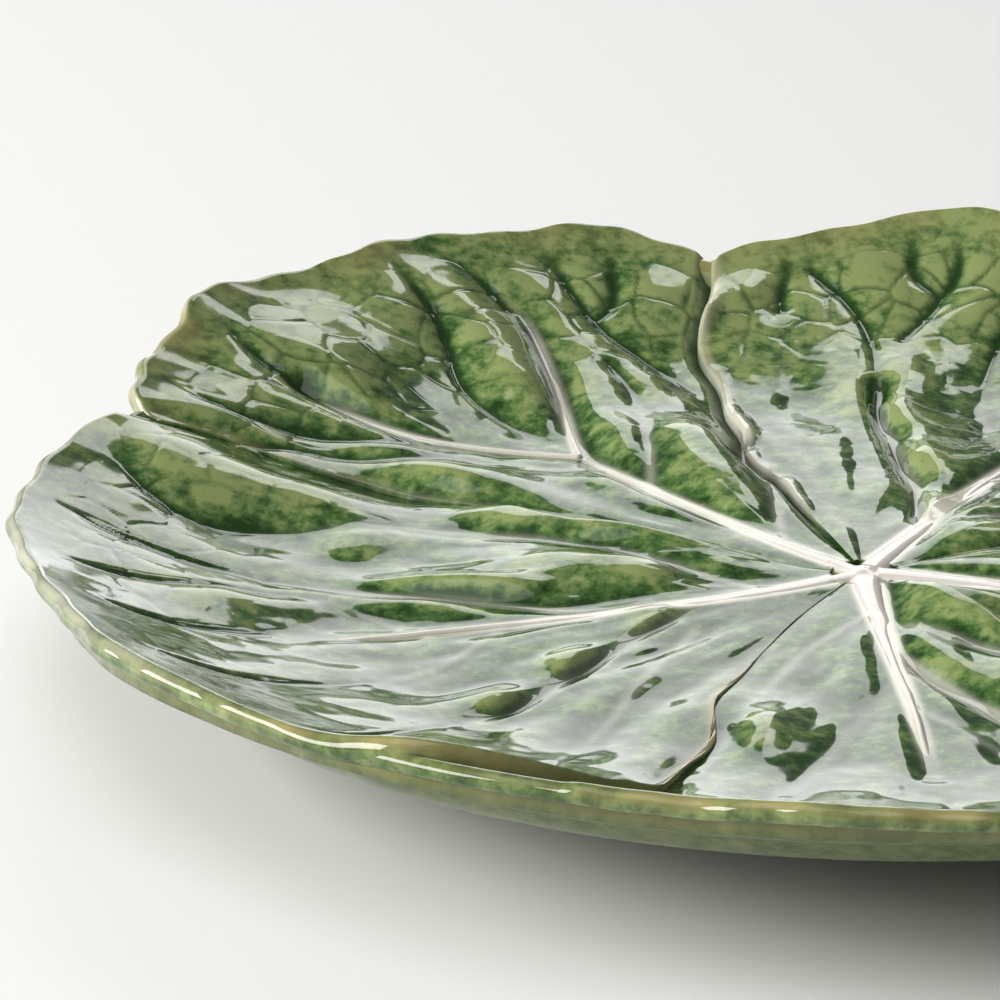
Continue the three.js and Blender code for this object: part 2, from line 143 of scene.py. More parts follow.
# Ripples: height, stretch along the radius, size, shift round the plate and seed; then the fine one's height
RIPPLES = ((0.6, 2.4, 8.5, 400, 31), (0.18, 1.8, 4.4, 200, 33))
FINE_RIPPLE = 0.03

# The curl of the left lobe's corner: its reach from the rim, and where along the lobe it comes and goes
CURL_REACH = 7.0
CURL_START = (0.79, 0.92)
CURL_END = (0.985, 1.0)

# Spans over which things come or go: from the rim inwards, then in radius
RIM_SPAN = (4.0, 16.0)
WALL_SPAN = (74.0, 108.0)
PUFF_WALL_SPAN = (95.0, 115.0)
PUFF_FADE = (105.0, 128.0)
NET_SPAN = (84.0, 116.0)
CALM_SPAN = (90.0, 118.0)
FILLET_FADE = (30.0, 75.0)
BARE_VEIN_FADE = (50.0, 95.0)
BARE_CREST_FADE = (80.0, 125.0)
EDGE_SPAN = (60.0, 110.0)
OCHRE_SPAN = (30.0, 55.0)

# How deep the glaze pools in a valley, and how much less on a puff, the wall, its valleys and a fold.
# The last two weigh a place's relief against that of its surroundings.
POOL_VALLEY = 0.74
POOL_PUFF = 0.42
POOL_WALL = 0.13
POOL_WALL_VALLEY = 0.12
POOL_FOLD = 0.4
POOL_SOFTENING = 80
POOL_RELIEF = 1.1

# The under-dish and the foot
DISH_THICKNESS = 2.7
DISH_EDGE = 1.2
DISH_GAP = 0.3
DISH_INSET = 2.2
FOOT_WIDTH = 7.0
FOOT_SECTION_POINTS = 56

# Grid sizes
LAP_COLUMNS = 8
MAIN_COLUMNS = 300
ROLL_COLUMNS = 12
MAIN_ROWS = 270
LIP_ROWS = 16
COARSE = 16
RIB_STATIONS = 90
RIB_SECTIONS = 15
HUB_RINGS = 40
HUB_SPOKES = 180
DISH_SPOKES = 480
DISH_RINGS = 90
DISH_BACK_RINGS = 12
RIM_SAMPLES = 400
RIM_REACH = 9
FOOT_SPOKES = 240

# The camera: its place from the hub's top in metres, its turn in degrees and its sensor in millimetres
CAMERA_BACK = 0.6568
CAMERA_UP = 0.2422
CAMERA_PAN = 4.70
CAMERA_TILT = 19.58
SENSOR_WIDTH = 36.0

# The floor, in metres
FLOOR_REACH = 5.0
FLOOR_POINTS = 21
FLOOR_DROP = 0.0002

# The light panels: name, place, the point that each one faces, width and height, in metres
LIGHT_PANELS = (
    ("back", (-0.2, 1.6, 0.7), (-0.2, 0.0, 0.7), 0.64, 1.4),
    ("high", (0.28, 1.6, 1.40), (0.28, 0.0, 1.40), 0.40, 0.50),
    ("left", (-1.7, -0.45, 0.85), (0.0, 0.0, 0.0), 1.6, 0.8),
    ("front", (-0.4, -1.8, 0.3), (0.0, 0.0, 0.05), 2.2, 0.6),
    ("top", (-0.3, -0.5, 1.6), (0.0, 0.0, 0.0), 1.6, 1.2),
)

# The lobes, anticlockwise, with angles in degrees round the hub and lengths in millimetres.
# seam, rim, lift, rib, rib_end and forks are as in the part's source; corner and flare as well, but for the
# long sweep of the left lobe's corner over the front lobe, which is drawn out further here.
# fork_looks: for each fork its half width, its height, how bare it is, the height of the fold beside it,
# and the side on which that fold stands: 1 anticlockwise, -1 clockwise.
# step: height of the lap at the lobe's first edge, as a share of the full one.
# rib_size: size of the midrib, as a share of the full one.
# ochre: how ochre the lobe's last edge is. curl: height of the curl at its far corner.
# tone: how much lighter the glaze is on the lobe's wall.
# puff: the puffs' height on the floor and on the wall, as a share of the full one.
# veins: side veins of the blade, each a list of radius and angle.
# swells: places where the puffs are full, each a radius, an angle and a width.
LOBES = [
    dict(
        name="back_left", seam=(108, 108.5, 101.5), corner=(10, 3), flare=0, step=1.0,
        ochre=0.1, curl=0.0, tone=0.0, puff=(0.3, 0.9),
        rim=(-9, 0, 0.5, 0.5, -1, -6, -14), lift=(0, 0, 0, 0, 0, 0, 0),
        rib=(141, 135.5, 131.5), rib_end=0.55, forks=((0.51, 0.87, 121), (0.51, 0.81, 147)), rib_size=0.58,
        fork_looks=((0.38, 0.25, 0.85, 0.0, 1), (0.4, 0.28, 0.9, 0.0, 1)),
        veins=(
            ((48, 134), (62, 124), (80, 118), (94, 117)),
            ((19, 131), (36, 114), (50, 111), (62, 109)),
            ((72, 132), (86, 133), (98, 132.5), (114, 129), (132, 129)),
            ((84, 110), (92, 111.5), (103, 114.4), (117, 115.7), (133, 116)),
            ((109, 115), (113, 112.6), (122, 111.3), (130, 110.4)),
            ((114, 122), (124, 123), (132, 125.5)),
            ((106, 147), (116, 148), (128, 147)),
            ((82, 142), (96, 152), (112, 157), (124, 158)),
            ((60, 134), (76, 146), (90, 154), (104, 160)),
        ),
        swells=(
            (82, 152, 7), (71, 153, 7), (59, 155, 6), (86, 118, 8), (63, 123, 11), (51, 123, 12),
            (37, 121, 10), (105, 145, 7), (107, 161, 8), (127, 150, 9), (118, 149, 9), (106, 148, 9),
            (92, 128, 8), (121, 131, 7),
        ),
    ),
    dict(
        name="left", seam=(168, 157, 168), corner=(30, 45), flare=0, step=0.12,
        ochre=0.8, curl=2.6, tone=0.0, puff=(0.2, 0.2),
        rim=(-14, -8, -8.5, -6.5, -4, -3, -3), lift=(0, 0, 0.5, 2.5, 2.5, 1.5, 4),
        rib=(218, 207.5, 203.5), rib_end=0.69, forks=((0.3, 0.66, 189), (0.2, 0.63, 230)), rib_size=0.6,
        fork_looks=((0.45, 0.1, 0.3, 0.0, 1), (0.4, 0.05, 0.15, 1.3, -1)),
        veins=(
            ((16, 214), (22, 192), (32, 179), (42, 173), (62, 170), (74, 171.5), (90, 176), (103, 177.5),
             (120, 171)),
            ((68, 206), (78, 196), (92, 193), (108, 195), (124, 196)),
            ((88, 189), (104, 187), (124, 184)),
            ((92, 203.5), (108, 204), (126, 203)),
            ((58, 207), (72, 215), (92, 217), (120, 215)),
            ((34, 225), (54, 236), (78, 242), (112, 245)),
            ((84, 230), (104, 231), (126, 232)),
        ),
        swells=(
            (115, 170, 9), (108, 170, 9), (100, 171, 9), (90, 171, 9), (81, 170, 8), (76, 176, 6),
            (47, 168, 11), (37, 167, 11), (26, 170, 9), (45, 184, 8), (33, 188, 8), (66, 193, 7),
            (57, 197, 7), (97, 196, 5), (82, 195, 5),
        ),
    ),
    dict(
        name="front", seam=(236, 252, 254), corner=(14, 5), flare=34, step=0.2,
        ochre=0.2, curl=0.0, tone=0.0, puff=(0.2, 0.4),
        rim=(-2, 0, 1, 2.5, 2, -2, -9), lift=(2, 2, 1.5, 1, 1, 0.5, 0.5),
        rib=(275, 277.5, 277.5), rib_end=0.58, forks=((0.3, 0.68, 264), (0.23, 0.69, 296)), rib_size=0.82,
        fork_looks=((0.35, 0.0, 0.1, 0.0, 1), (0.45, 0.15, 0.5, 1.0, 1)),
        veins=(
            ((17, 275), (24, 262), (34, 255), (50, 254)),
            ((90, 264), (108, 262), (130, 261)),
            ((77, 277.5), (100, 278), (132, 280)),
            ((52, 277.5), (72, 287), (100, 291), (132, 290)),
            ((92, 296), (110, 300), (130, 302)),
            ((22, 279), (34, 296), (52, 306), (80, 308)),
        ),
        swells=((64, 259, 5), (66, 265, 3), (20, 308, 9), (33, 289, 9), (33, 301, 10), (48, 298, 8)),
    ),
    dict(
        name="right", seam=(312, 314, 312), corner=(14, 6), flare=4, step=0.8,
        ochre=0.2, curl=0.0, tone=0.06, puff=(0.6, 0.8),
        rim=(-12, -1, 2, 3, 1.5, -1.5, -8), lift=(0, 0.5, 1.5, 0.5, 1, 1.5, 2),
        rib=(352, 345, 344), rib_end=0.69, forks=((0.26, 0.71, 327), (0.36, 0.74, 3)), rib_size=0.9,
        fork_looks=((0.6, 0.4, 0.8, 0.0, 1), (0.6, 0.4, 0.8, 0.0, 1)),
        veins=(
            ((15, 350), (26, 336), (40, 326), (64, 320)),
            ((24, 349), (40, 4), (62, 14), (92, 20), (124, 21)),
            ((62, 345), (84, 336), (108, 335), (132, 336)),
            ((94, 327), (112, 324), (130, 322)),
            ((92, 344), (110, 346), (134, 346)),
            ((98, 3), (114, 6), (132, 8)),
            ((74, 345), (96, 354), (130, 356)),
        ),
        swells=((28, 338, 9), (44, 352, 9), (60, 332, 9), (84, 8, 9)),
    ),
    dict(
        name="back", seam=(28, 30, 26), corner=(10, 3), flare=4, step=0.8,
        ochre=0.0, curl=0.0, tone=0.14, puff=(0.3, 0.8),
        rim=(-12, -2, 2, 1.5, 1, 0, -8), lift=(0, 1, 1.5, 0.5, 0, 0, 0),
        rib=(67, 66.5, 63), rib_end=0.69, forks=((0.14, 0.63, 89), (0.35, 0.74, 45)), rib_size=0.75,
        fork_looks=((0.4, 0.05, 0.2, 1.8, -1), (0.6, 0.4, 0.8, 0.0, 1)),
        veins=(
            ((20, 67), (30, 52), (46, 42), (70, 37), (100, 35)),
            ((84, 89), (100, 90), (110, 92), (119, 95), (128, 95)),
            ((100, 87), (108, 85), (113, 84.3), (118, 86.5), (128, 87)),
            ((112, 84.3), (119, 83), (128, 83.5)),
            ((108, 98), (113, 97.8), (122, 96.7), (127, 99)),
            ((58, 66.5), (76, 76), (96, 78), (130, 77)),
            ((92, 63), (112, 63), (133, 65)),
            ((70, 65), (90, 55), (112, 53), (133, 54)),
            ((98, 45), (114, 43), (132, 42)),
        ),
        swells=((81, 88, 7), (58, 84, 7), (45, 77, 7), (24, 46, 8), (60, 52, 9)),
    ),
]


def length(name, description, default, least=0.0):
    """A setting for a size, given in millimetres."""
    return FloatProperty(
        name=name, description=description, default=default * MM, min=least * MM, unit="LENGTH")


def colour(name, description, default):
    """A setting for a colour."""
    return FloatVectorProperty(
        name=name, description=description, default=default, subtype="COLOR", size=3, min=0.0, max=1.0)


def brightness(name, description, default):
    """A setting for the brightness of a light."""
    return FloatProperty(name=name, description=description, default=default, min=0.0)


class LeafSettings(PropertyGroup):
    """Sizes and glaze colours of the leaf lobes."""

    puff_height: length("Puff height", "How far the blade swells between two veins", 2.6)
    puff_span: length(
        "Puff span", "Distance between veins at which a puff reaches its full height", 15.0, 1.0)
    vein_height: length("Vein height", "How far a side vein stands up near the hub", 0.12)
    groove_depth: length("Groove depth", "How deep a side vein sinks near the rim", 0.55)
    cell_size: length("Cell size", "Size of the small cells of the net near the rim", 8.5, 2.0)
    lap_crest: length("Lap crest", "How far a lobe's upper edge stands up along its lap", 1.0)
    lip_width: length("Lip width", "Half the width of the rounded rim", 1.6, 0.2)
    # The deep colour also serves as painted shade under the laps and down the lobes' last edges
    deep_glaze_and_shade_colour: colour("Deep glaze", "Colour where the glaze pools in hollows", (0.012, 0.045, 0.005))
    glaze_colour: colour("Glaze", "Colour of the blade", (0.074, 0.150, 0.038))
    thin_colour: colour("Thin glaze", "Colour where the glaze runs thin on high places", (0.25, 0.31, 0.11))
    pale_colour: colour(
        "Bare vein", "Colour of raised veins, where the white clay shows through", (0.70, 0.68, 0.56))
    edge_colour: colour("Edge", "Colour of the rim and of the lobes' edges", (0.34, 0.29, 0.115))


class RibSettings(PropertyGroup):
    """Sizes and colours of the midribs and their hub."""

    width: length("Rib width", "Width of a midrib at the hub", 5.0, 1.0)
    height: length("Rib height", "Height of a midrib's crest above the blade at the hub", 1.15, 0.2)
    crest_colour: colour("Rib crest", "Colour of a rib's crest", (0.73, 0.68, 0.62))
    foot_colour: colour("Rib foot", "Colour of a rib where it meets the blade", (0.30, 0.33, 0.15))


class UnderSettings(PropertyGroup):
    """Colours of the under-dish and the foot ring."""

    glaze_colour: colour("Under glaze", "Colour of the glazed underside", (0.085, 0.125, 0.035))
    thin_colour: colour(
        "Thin under glaze", "Colour of the underside where its glaze runs thin", (0.24, 0.24, 0.09))
    clay_colour: colour("Bare clay", "Colour of the unglazed sole", (0.62, 0.49, 0.36))


class StageSettings(PropertyGroup):
    """Floor, light and camera."""

    floor_colour: colour("Floor", "Colour of the floor", (0.90, 0.892, 0.88))
    sky_strength: brightness("Room light", "Brightness of the room all round", 0.17)
    back_strength: brightness("Back panel", "Brightness of the light panel behind the plate", 2.4)
    high_strength: brightness("High panel", "Brightness of the small light panel high behind the plate", 3.6)
    left_strength: brightness("Left panel", "Brightness of the light panel at the left", 12.2)
    front_strength: brightness("Front panel", "Brightness of the low light panel in front", 0.5)
    top_strength: brightness("Top panel", "Brightness of the light panel overhead", 1.4)
    lens: FloatProperty(
        name="Lens", description="Focal length of the camera", default=170.3, min=1.0, unit="CAMERA")


def smooth_step(value, low, high):
    """0 below low, 1 above high, and a cubic ease between them."""
    share = np.clip((value - low) / (high - low), 0.0, 1.0)
    return share * share * (3.0 - 2.0 * share)


def bell(distance, width):
    """1 at no distance, and a bell curve that falls over a width."""
    return np.exp(-(distance / width) ** 2)


def through_three(values, share):
    """The parabola through values given at the start, the middle and the end of a run."""
    s = np.clip(share, 0.0, 1.0)
    first, middle, last = values
    return first * (1 - s) * (1 - 2 * s) + middle * 4 * s * (1 - s) + last * s * (2 * s - 1)


def through_many(values, share):
    """The Catmull-Rom curve through values given at even steps of a run."""
    knots = np.asarray(values, dtype=float)
    last = len(knots) - 1
    place = np.clip(share, 0.0, 1.0) * last
    step = np.minimum(place.astype(int), last - 1)
    t = place - step
    if knots.ndim > 1:
        t = t[..., None]
    before, start = knots[np.maximum(step - 1, 0)], knots[step]
    end, after = knots[step + 1], knots[np.minimum(step + 2, last)]
    leave, arrive = (end - before) / 2, (after - start) / 2
    cubic = 2 * (start - end) + leave + arrive
    square = 3 * (end - start) - 2 * leave - arrive
    return ((cubic * t + square) * t + leave) * t + start


def random_waves(x, y, size, seed):
    """Smooth random heights from -1 to 1: a seeded square lattice of values, eased between its points."""
    lattice = np.random.default_rng(seed).uniform(-1.0, 1.0, (101, 101))
    column, row = x / size, y / size
    left, low = np.floor(column).astype(int), np.floor(row).astype(int)
    fx, fy = column - left, row - low
    fx = fx * fx * fx * (fx * (fx * 6 - 15) + 10)
    fy = fy * fy * fy * (fy * (fy * 6 - 15) + 10)
    a, b = lattice[left % 101, low % 101], lattice[(left + 1) % 101, low % 101]
    c, d = lattice[left % 101, (low + 1) % 101], lattice[(left + 1) % 101, (low + 1) % 101]
    return (a * (1 - fx) + b * fx) * (1 - fy) + (c * (1 - fx) + d * fx) * fy


def soften(field, passes):
    """A field on a grid, averaged with its neighbours along rows and columns a number of times."""
    out = field.copy()
    for _ in range(passes):
        padded = np.pad(out, 1, mode="edge")
        out = (padded[:-2, 1:-1] + padded[2:, 1:-1] + padded[1:-1, :-2] + padded[1:-1, 2:]) / 8 + out / 2
    return out


def wall_height(radius):
    """The dished face: a flat floor, then a wall that rises by a power of the distance past the well."""
    share = np.maximum(0.0, radius - WELL_RADIUS) / (LEAF_RADIUS - WELL_RADIUS)
    return FLOOR_HEIGHT + (RIM_HEIGHT - FLOOR_HEIGHT) * share ** WALL_CURVE


def seam_angle(index, radius):
    """Angle of the seam before a lobe, in radians: a parabola over the radius, with a small wander."""
    turns, place = divmod(index, len(LOBES))
    seam = LOBES[place]["seam"]
    degrees = through_three(seam, radius / LEAF_RADIUS)
    if seam[0] < LOBES[0]["seam"][0]:
        degrees = degrees + 360.0
    wander = 0.9 * np.sin(radius / 7.0 + 2.0 * place) + 0.6 * np.sin(radius / 3.7 + place)
    wander = wander * smooth_step(radius, 20.0, 60.0) / np.maximum(radius, LAP_FULL_RADIUS)
    return np.radians(degrees + 360.0 * turns) + wander


def rim_radius(index, share):
    """A lobe's outline: its given radii, small scallops, and a rounded corner at the upper edge."""
    lobe = LOBES[index]
    width, depth = lobe["corner"]
    span = seam_angle(index + 1, LEAF_RADIUS) - seam_angle(index, LEAF_RADIUS)
    scallop = RIM_SCALLOP * np.sin(share * RIM_SCALLOPS * 2 * np.pi + index)
    nibble = RIM_NIBBLE * np.sin(share * 61.0 + 3 * index) * np.sin(share * 23.0 + index)
    to_corner = np.clip(1 - (1 - share) * span * LEAF_RADIUS / width, 0.0, 1.0)
    cut_back = depth * (1 - np.sqrt(1 - to_corner ** 2))
    return LEAF_RADIUS + through_many(lobe["rim"], share) + scallop + nibble - cut_back


def lap_scale(radius):
    """How much the laps narrow near the hub."""
    return np.minimum(1.0, radius / LAP_FULL_RADIUS)


def lap_growth(lobe, radius):
    """How far the lap at a lobe's first edge has grown: from nothing at the hub to its full height."""
    return smooth_step(radius, 2 * HUB_RADIUS, LAP_FULL_RADIUS + LOW_LAP_DELAY * (1 - lobe["step"]))


def plan(radius, angle):
    """Plan points at radii and angles, as an array with x and y last."""
    return np.stack([radius * np.cos(angle), radius * np.sin(angle)], axis=-1)


def rib_lines(lobe, count=40):
    """The plan routes of a lobe's trunk and forks, as in the part's source.

    The trunk's angle is a parabola over the radius. A fork's turns from the trunk's to its own, and slows."""
    share = np.linspace(0.0, 1.0, count)
    end = lobe["rib_end"] * LEAF_RADIUS
    radius = HUB_RADIUS - 1.0 + (end - HUB_RADIUS + 1.0) * share
    lines = [plan(radius, np.radians(through_three(lobe["rib"], radius / end)))]
    for begin, stop, degrees in lobe["forks"]:
        radius = LEAF_RADIUS * (begin + (stop - begin) * share)
        start = through_three(lobe["rib"], LEAF_RADIUS * begin / end)
        finish = degrees - 360 * round((degrees - lobe["rib"][1]) / 360)
        lines.append(plan(radius, np.radians(start + (finish - start) * share * (2 - share))))
    return lines


def vein_lines(lobe, count=26):
    """The plan routes of a lobe's side veins: smooth curves through their given radii and angles."""
    share = np.linspace(0.0, 1.0, count)
    lines = []
    for vein in lobe["veins"]:
        given = np.array(vein, dtype=float)
        turn = np.degrees(np.unwrap(np.radians(given[:, 1])))
        points = plan(given[:, 0], np.radians(turn))
        lines.append(through_many(points, share))
    return lines


def distance_to(line, x, y):
    """Distance in plan from points to the nearest chord of a line, the share of the line there, and the
    side of the line: 1 to its left, -1 to its right."""
    least = np.full(x.shape, 1e9)
    along = np.zeros(x.shape)
    side = np.ones(x.shape)
    chords = len(line) - 1
    for number in range(chords):
        ax, ay = line[number]
        dx, dy = line[number + 1] - line[number]
        t = np.clip(((x - ax) * dx + (y - ay) * dy) / (dx * dx + dy * dy), 0.0, 1.0)
        gap = np.hypot(x - ax - t * dx, y - ay - t * dy)
        nearer = gap < least
        least = np.where(nearer, gap, least)
        along = np.where(nearer, (number + t) / chords, along)
        side = np.where(nearer, np.where(dx * (y - ay) > dy * (x - ax), 1.0, -1.0), side)
    return least, along, side


def cell_net(x, y, size, seed):
    """Distances to the nearest and the second nearest of seeded points, one in each square of a lattice."""
    reach = int(math.ceil(LEAF_RADIUS * 1.1 / size))
    steps = np.arange(-reach, reach + 1)
    centre_x, centre_y = np.meshgrid(steps, steps)
    jitter = np.random.default_rng(seed).uniform(-0.42, 0.42, (2,) + centre_x.shape)
    seeds = np.stack([(centre_x + jitter[0]) * size, (centre_y + jitter[1]) * size], axis=-1).reshape(-1, 2)
    inside = (np.abs(seeds[:, 0] - x.mean()) < np.ptp(x)) & (np.abs(seeds[:, 1] - y.mean()) < np.ptp(y))
    first = np.full(x.shape, 1e9)
    second = np.full(x.shape, 1e9)
    for seed_x, seed_y in seeds[inside]:
        gap = np.hypot(x - seed_x, y - seed_y)
        second = np.minimum(second, np.maximum(first, gap))
        first = np.minimum(first, gap)
    return first, second


def lobe_grid():
    """The parameters of a lobe's grid: for each column its share of the lobe, its depth under the lap
    and its turn round the upper edge; for each row its share of the radius and its turn round the lip."""
    hidden, shown, rolled = np.zeros(LAP_COLUMNS), np.zeros(MAIN_COLUMNS), np.zeros(ROLL_COLUMNS)
    lap = np.concatenate([np.linspace(1.0, 0.0, LAP_COLUMNS, endpoint=False), shown, rolled])
    share = np.concatenate([hidden, np.linspace(0.0, 1.0, MAIN_COLUMNS), rolled + 1.0])
    roll = np.concatenate([hidden, shown, np.linspace(0.0, 1.0, ROLL_COLUMNS + 1)[1:]])
    out = np.concatenate([np.linspace(0.0, 1.0, MAIN_ROWS), np.ones(LIP_ROWS)])
    lip = np.concatenate([np.zeros(MAIN_ROWS), np.linspace(0.0, 1.0, LIP_ROWS + 1)[1:]])
    return share[None, :], lap[None, :], roll[None, :], out[:, None], lip[:, None]


def lobe_surface(index, leaf, ribs):
    """One lobe's upper face with its turned edges, points for the sheet under it, and the glaze's masks.

    The radius runs from the hub to the rim. The angle runs from the first seam to the last, with a strip
    before it that lies under the lobe before. The height is that of lobe_relief. The last edge turns down
    by a quarter circle and then drops. The rim turns over and back by half an ellipse."""
    lobe, after = LOBES[index], LOBES[(index + 1) % len(LOBES)]
    share, lap, roll, out, lip = lobe_grid()
    uneven = LIP_UNEVEN * random_waves(share * 130.0, 0 * share, 9.0, 101 + index)
    lip_width = leaf.lip_width / MM * (1 + uneven)
    inner = HUB_RADIUS - 2.0
    rim = rim_radius(index, share) - lip_width - LAP_CUT_BACK * lap ** 2
    radius = inner + (rim - inner) * out
    edge_round = (EDGE_ROUND + LAP_ROUND * after["step"]) * (0.05 + 0.95 * lap_growth(after, radius))
    first = seam_angle(index, radius)
    narrow = lap_scale(radius)
    arc = narrow / np.maximum(radius, 1e-6)
    last = seam_angle(index + 1, radius) - edge_round * arc
    wide = LAP_WIDTH + lobe["flare"] * smooth_step(radius, WELL_RADIUS, LEAF_RADIUS)
    angle = first + (last - first) * share - wide * lap * arc
    place = SimpleNamespace(
        index=index, lobe=lobe, after=after, share=share, radius=radius, angle=angle, narrow=narrow,
        x=radius * np.cos(angle), y=radius * np.sin(angle),
        from_first=(angle - first) / arc, from_last=(last - angle) / arc)
    height, masks = lobe_relief(place, leaf, ribs)

    # The rolled last edge, then the lip
    quarter = np.minimum(roll * ROLL_SPEED, 1.0) * np.pi / 2
    below = np.maximum(roll * ROLL_SPEED - 1.0, 0.0) / (ROLL_SPEED - 1.0)
    sideways = edge_round * np.sin(quarter) * narrow
    drop = edge_round * (1 - np.cos(quarter)) + LAP_DROP * below
    turned_over = (1 - np.cos(lip * np.pi)) / 2
    lip_foot = lip_foot_height(index, share, radius)
    tall = np.maximum(height - lip_foot, LIP_LEAST_HEIGHT)
    height = height - tall * turned_over - drop * (1 - 0.6 * turned_over)
    outward = lip_width * np.sin(lip * np.pi)
    x = place.x + outward * np.cos(angle) - sideways * np.sin(angle)
    y = place.y + outward * np.sin(angle) + sideways * np.cos(angle)
    edge_glaze(place, roll, lip, masks)
    bottom = np.stack([place.x, place.y, lip_foot + 0 * angle], axis=-1)
    return np.stack([x, y, height], axis=-1), bottom, masks


def edge_glaze(place, roll, lip, masks):
    """Adds the turned edges to a lobe's masks: pale on the lip away from the front of the plate, ochre where
    the lip faces the front and on the crown of the last edge, and painted shade in the deep glaze colour down
    that edge's face."""
    lobe = place.lobe
    patchy = random_waves(place.share * 120.0 + 0 * lip, lip * 9.0 + 0 * place.share, 5.0, 111 + place.index)
    turned = smooth_step(lip, 0.0, 0.12) * (1 - 0.85 * smooth_step(lip, 0.2, 0.55)) * (0.7 + 0.5 * patchy)
    turned = turned * smooth_step(place.from_first + lobe["flare"], 2.0, 9.0)
    front = 0.12 + 0.88 * smooth_step(-np.sin(place.angle), 0.5, 0.9)
    crown = smooth_step(roll, 0.0, 0.15) * (1 - smooth_step(roll, 0.5, 0.7))
    ochre = lobe["ochre"] * crown * smooth_step(place.radius, *OCHRE_SPAN)
    edge = np.clip(masks["edge"] + turned * front, 0, 1) * (1 - smooth_step(roll, 0.2, 0.5))
    # Painted shade down the face of the last edge, where it drops to the next lobe: laid through the dark
    # mask below
    face = smooth_step(roll, 0.2, 0.6) * (1 - smooth_step(lip, 0.0, 0.3))
    # The lip is pale away from the front of the plate, through the bare mask
    masks["bare"] = np.maximum(masks["bare"], 0.9 * turned * (1 - front))
    masks["edge"] = np.maximum(edge, ochre)
    masks["dark"] = np.maximum(masks["dark"], face * place.after["step"])


def rim_lift(index, share, radius):
    """How far the rim's face stands above the plain wall."""
    lift = through_many(LOBES[index]["lift"], share + 0 * radius)
    return lift * smooth_step(radius, LIFT_RADIUS, LEAF_RADIUS)


def lip_foot_height(index, share, radius):
    """Height of a lobe's lower edge: a depth under the plain wall, raised by a share of the rim's lift."""
    return wall_height(radius) - LIP_DEPTH + UNDER_LIFT * rim_lift(index, share, radius)


def swell_bell(place, swell, back):
    """A bell round a swell's place, drawn out along the radius and moved towards the back of the plate."""
    away, degrees, wide = swell
    out_x, out_y = math.cos(math.radians(degrees)), math.sin(math.radians(degrees))
    aside, ahead = place.x - away * out_x, place.y - away * out_y - back
    along = (aside * out_x + ahead * out_y) / SWELL_LENGTH
    across = ahead * out_x - aside * out_y
    return np.exp(-(along ** 2 + across ** 2) / wide ** 2)


def swelling(place):
    """The share of their full height that a lobe's puffs reach, and the heave of the blade behind its swells.

    The share runs from the floor's to the wall's, and is full at the swells. The heave is a bell behind each
    one. Bells join by a power mean."""
    near, behind = np.zeros(place.x.shape), np.zeros(place.x.shape)
    for swell in place.lobe["swells"]:
        wide = swell[2]
        full = min(1.0, wide / SWELL_FULL_WIDTH)
        near = near + (full * swell_bell(place, swell, 0.0)) ** SWELL_BLEND
        behind = behind + (HEAVE_HEIGHT * wide * swell_bell(place, swell, HEAVE_BEHIND * wide)) ** SWELL_BLEND
    near = np.minimum(1.0, near ** (1 / SWELL_BLEND))
    floor, wall = place.lobe["puff"]
    base = floor + (wall - floor) * smooth_step(place.radius, *PUFF_WALL_SPAN)
    return base + (1 - base) * near, behind ** (1 / SWELL_BLEND)


def beside_ribs(place, ribs):
    """What the ribs do to a lobe: distances, bare clay and a fillet along them, and folds by some forks.

    A fold is a row of lenses on one side of a fork, each rising from a furrow and falling off as a bell."""
    lobe, shape = place.lobe, place.x.shape
    near = SimpleNamespace(gaps=[], bare=np.zeros(shape), fold=np.zeros(shape), furrow=np.zeros(shape))
    lens = 0.8 + 0.3 * random_waves(place.radius, 0 * place.radius, 8.0, 81 + place.index)
    for number, line in enumerate(rib_lines(lobe)):
        gap, along, side = distance_to(line, place.x, place.y)
        past = np.maximum(0.0, gap - rib_sizes(lobe, number, along, ribs)[0])
        near.gaps.append(past)
        shown = 1.0
        if number == 0:
            near.fillet = RIB_FILLET * np.exp(-past / RIB_FILLET_WIDTH)
            near.fillet = near.fillet * (1 - smooth_step(place.radius, *FILLET_FADE))
        else:
            shown, high, way = lobe["fork_looks"][number - 1][2:]
            over = side * way * gap
            lumps = 0.1 + np.sin(FOLD_LENSES * np.pi * along) ** 2 * lens
            rise = smooth_step(over, -0.5, FOLD_FRONT) * bell(np.maximum(0.0, over - FOLD_FRONT), FOLD_WIDTH)
            run = smooth_step(along, 0.02, 0.2) * (1 - smooth_step(along, 0.8, 1.0))
            trough = bell(over + FURROW_PLACE, FURROW_WIDTH) * run * high * lumps
            near.fold = near.fold + high * run * lumps * rise - 0.4 * trough
            near.furrow = np.maximum(near.furrow, trough)
        near.bare = np.maximum(near.bare, shown * bell(past, 0.7) * (1 - smooth_step(along, 0.7, 1.0)))
    near.clear = np.min(near.gaps, axis=0)
    return near


def puffs(place, gaps, clear, leaf):
    """The puffs of a lobe: their share of a full rise, their unevenness, their height, and the heave.

    A puff rises as a parabola from the nearest vein or edge to half way to the next, less where the two are
    close together, and less again by its random share and its swelling. Puffs fade towards the rim."""
    nearest, second = np.partition(np.stack(gaps), 1, axis=0)[:2]
    span = nearest + second + 1e-6
    rise = 1 - (1 - 2 * nearest / span) ** 2
    rise = soften(rise * np.minimum(1.0, span * MM / leaf.puff_span), PUFF_SOFTENING)
    waves = random_waves(place.radius / 1.3, place.arc_length, 14.0, 11 + place.index)
    swell, heave = swelling(place)
    uneven = np.maximum(0.3, 1.0 + 0.4 * waves) * soften(swell, SWELL_SOFTENING)
    heave = soften(heave, HEAVE_SOFTENING) * smooth_step(clear, 0.0, CLEAR_OF_RIB)
    for gap in (place.from_first, place.from_last):
        heave = heave * smooth_step(gap, 0.0, CLEAR_OF_EDGE)
    puff = leaf.puff_height / MM * uneven * rise - VALLEY
    puff = puff * (1 - 0.4 * smooth_step(place.radius, *PUFF_FADE)) * (0.1 + 0.9 * place.inside)
    return rise, uneven, puff, heave


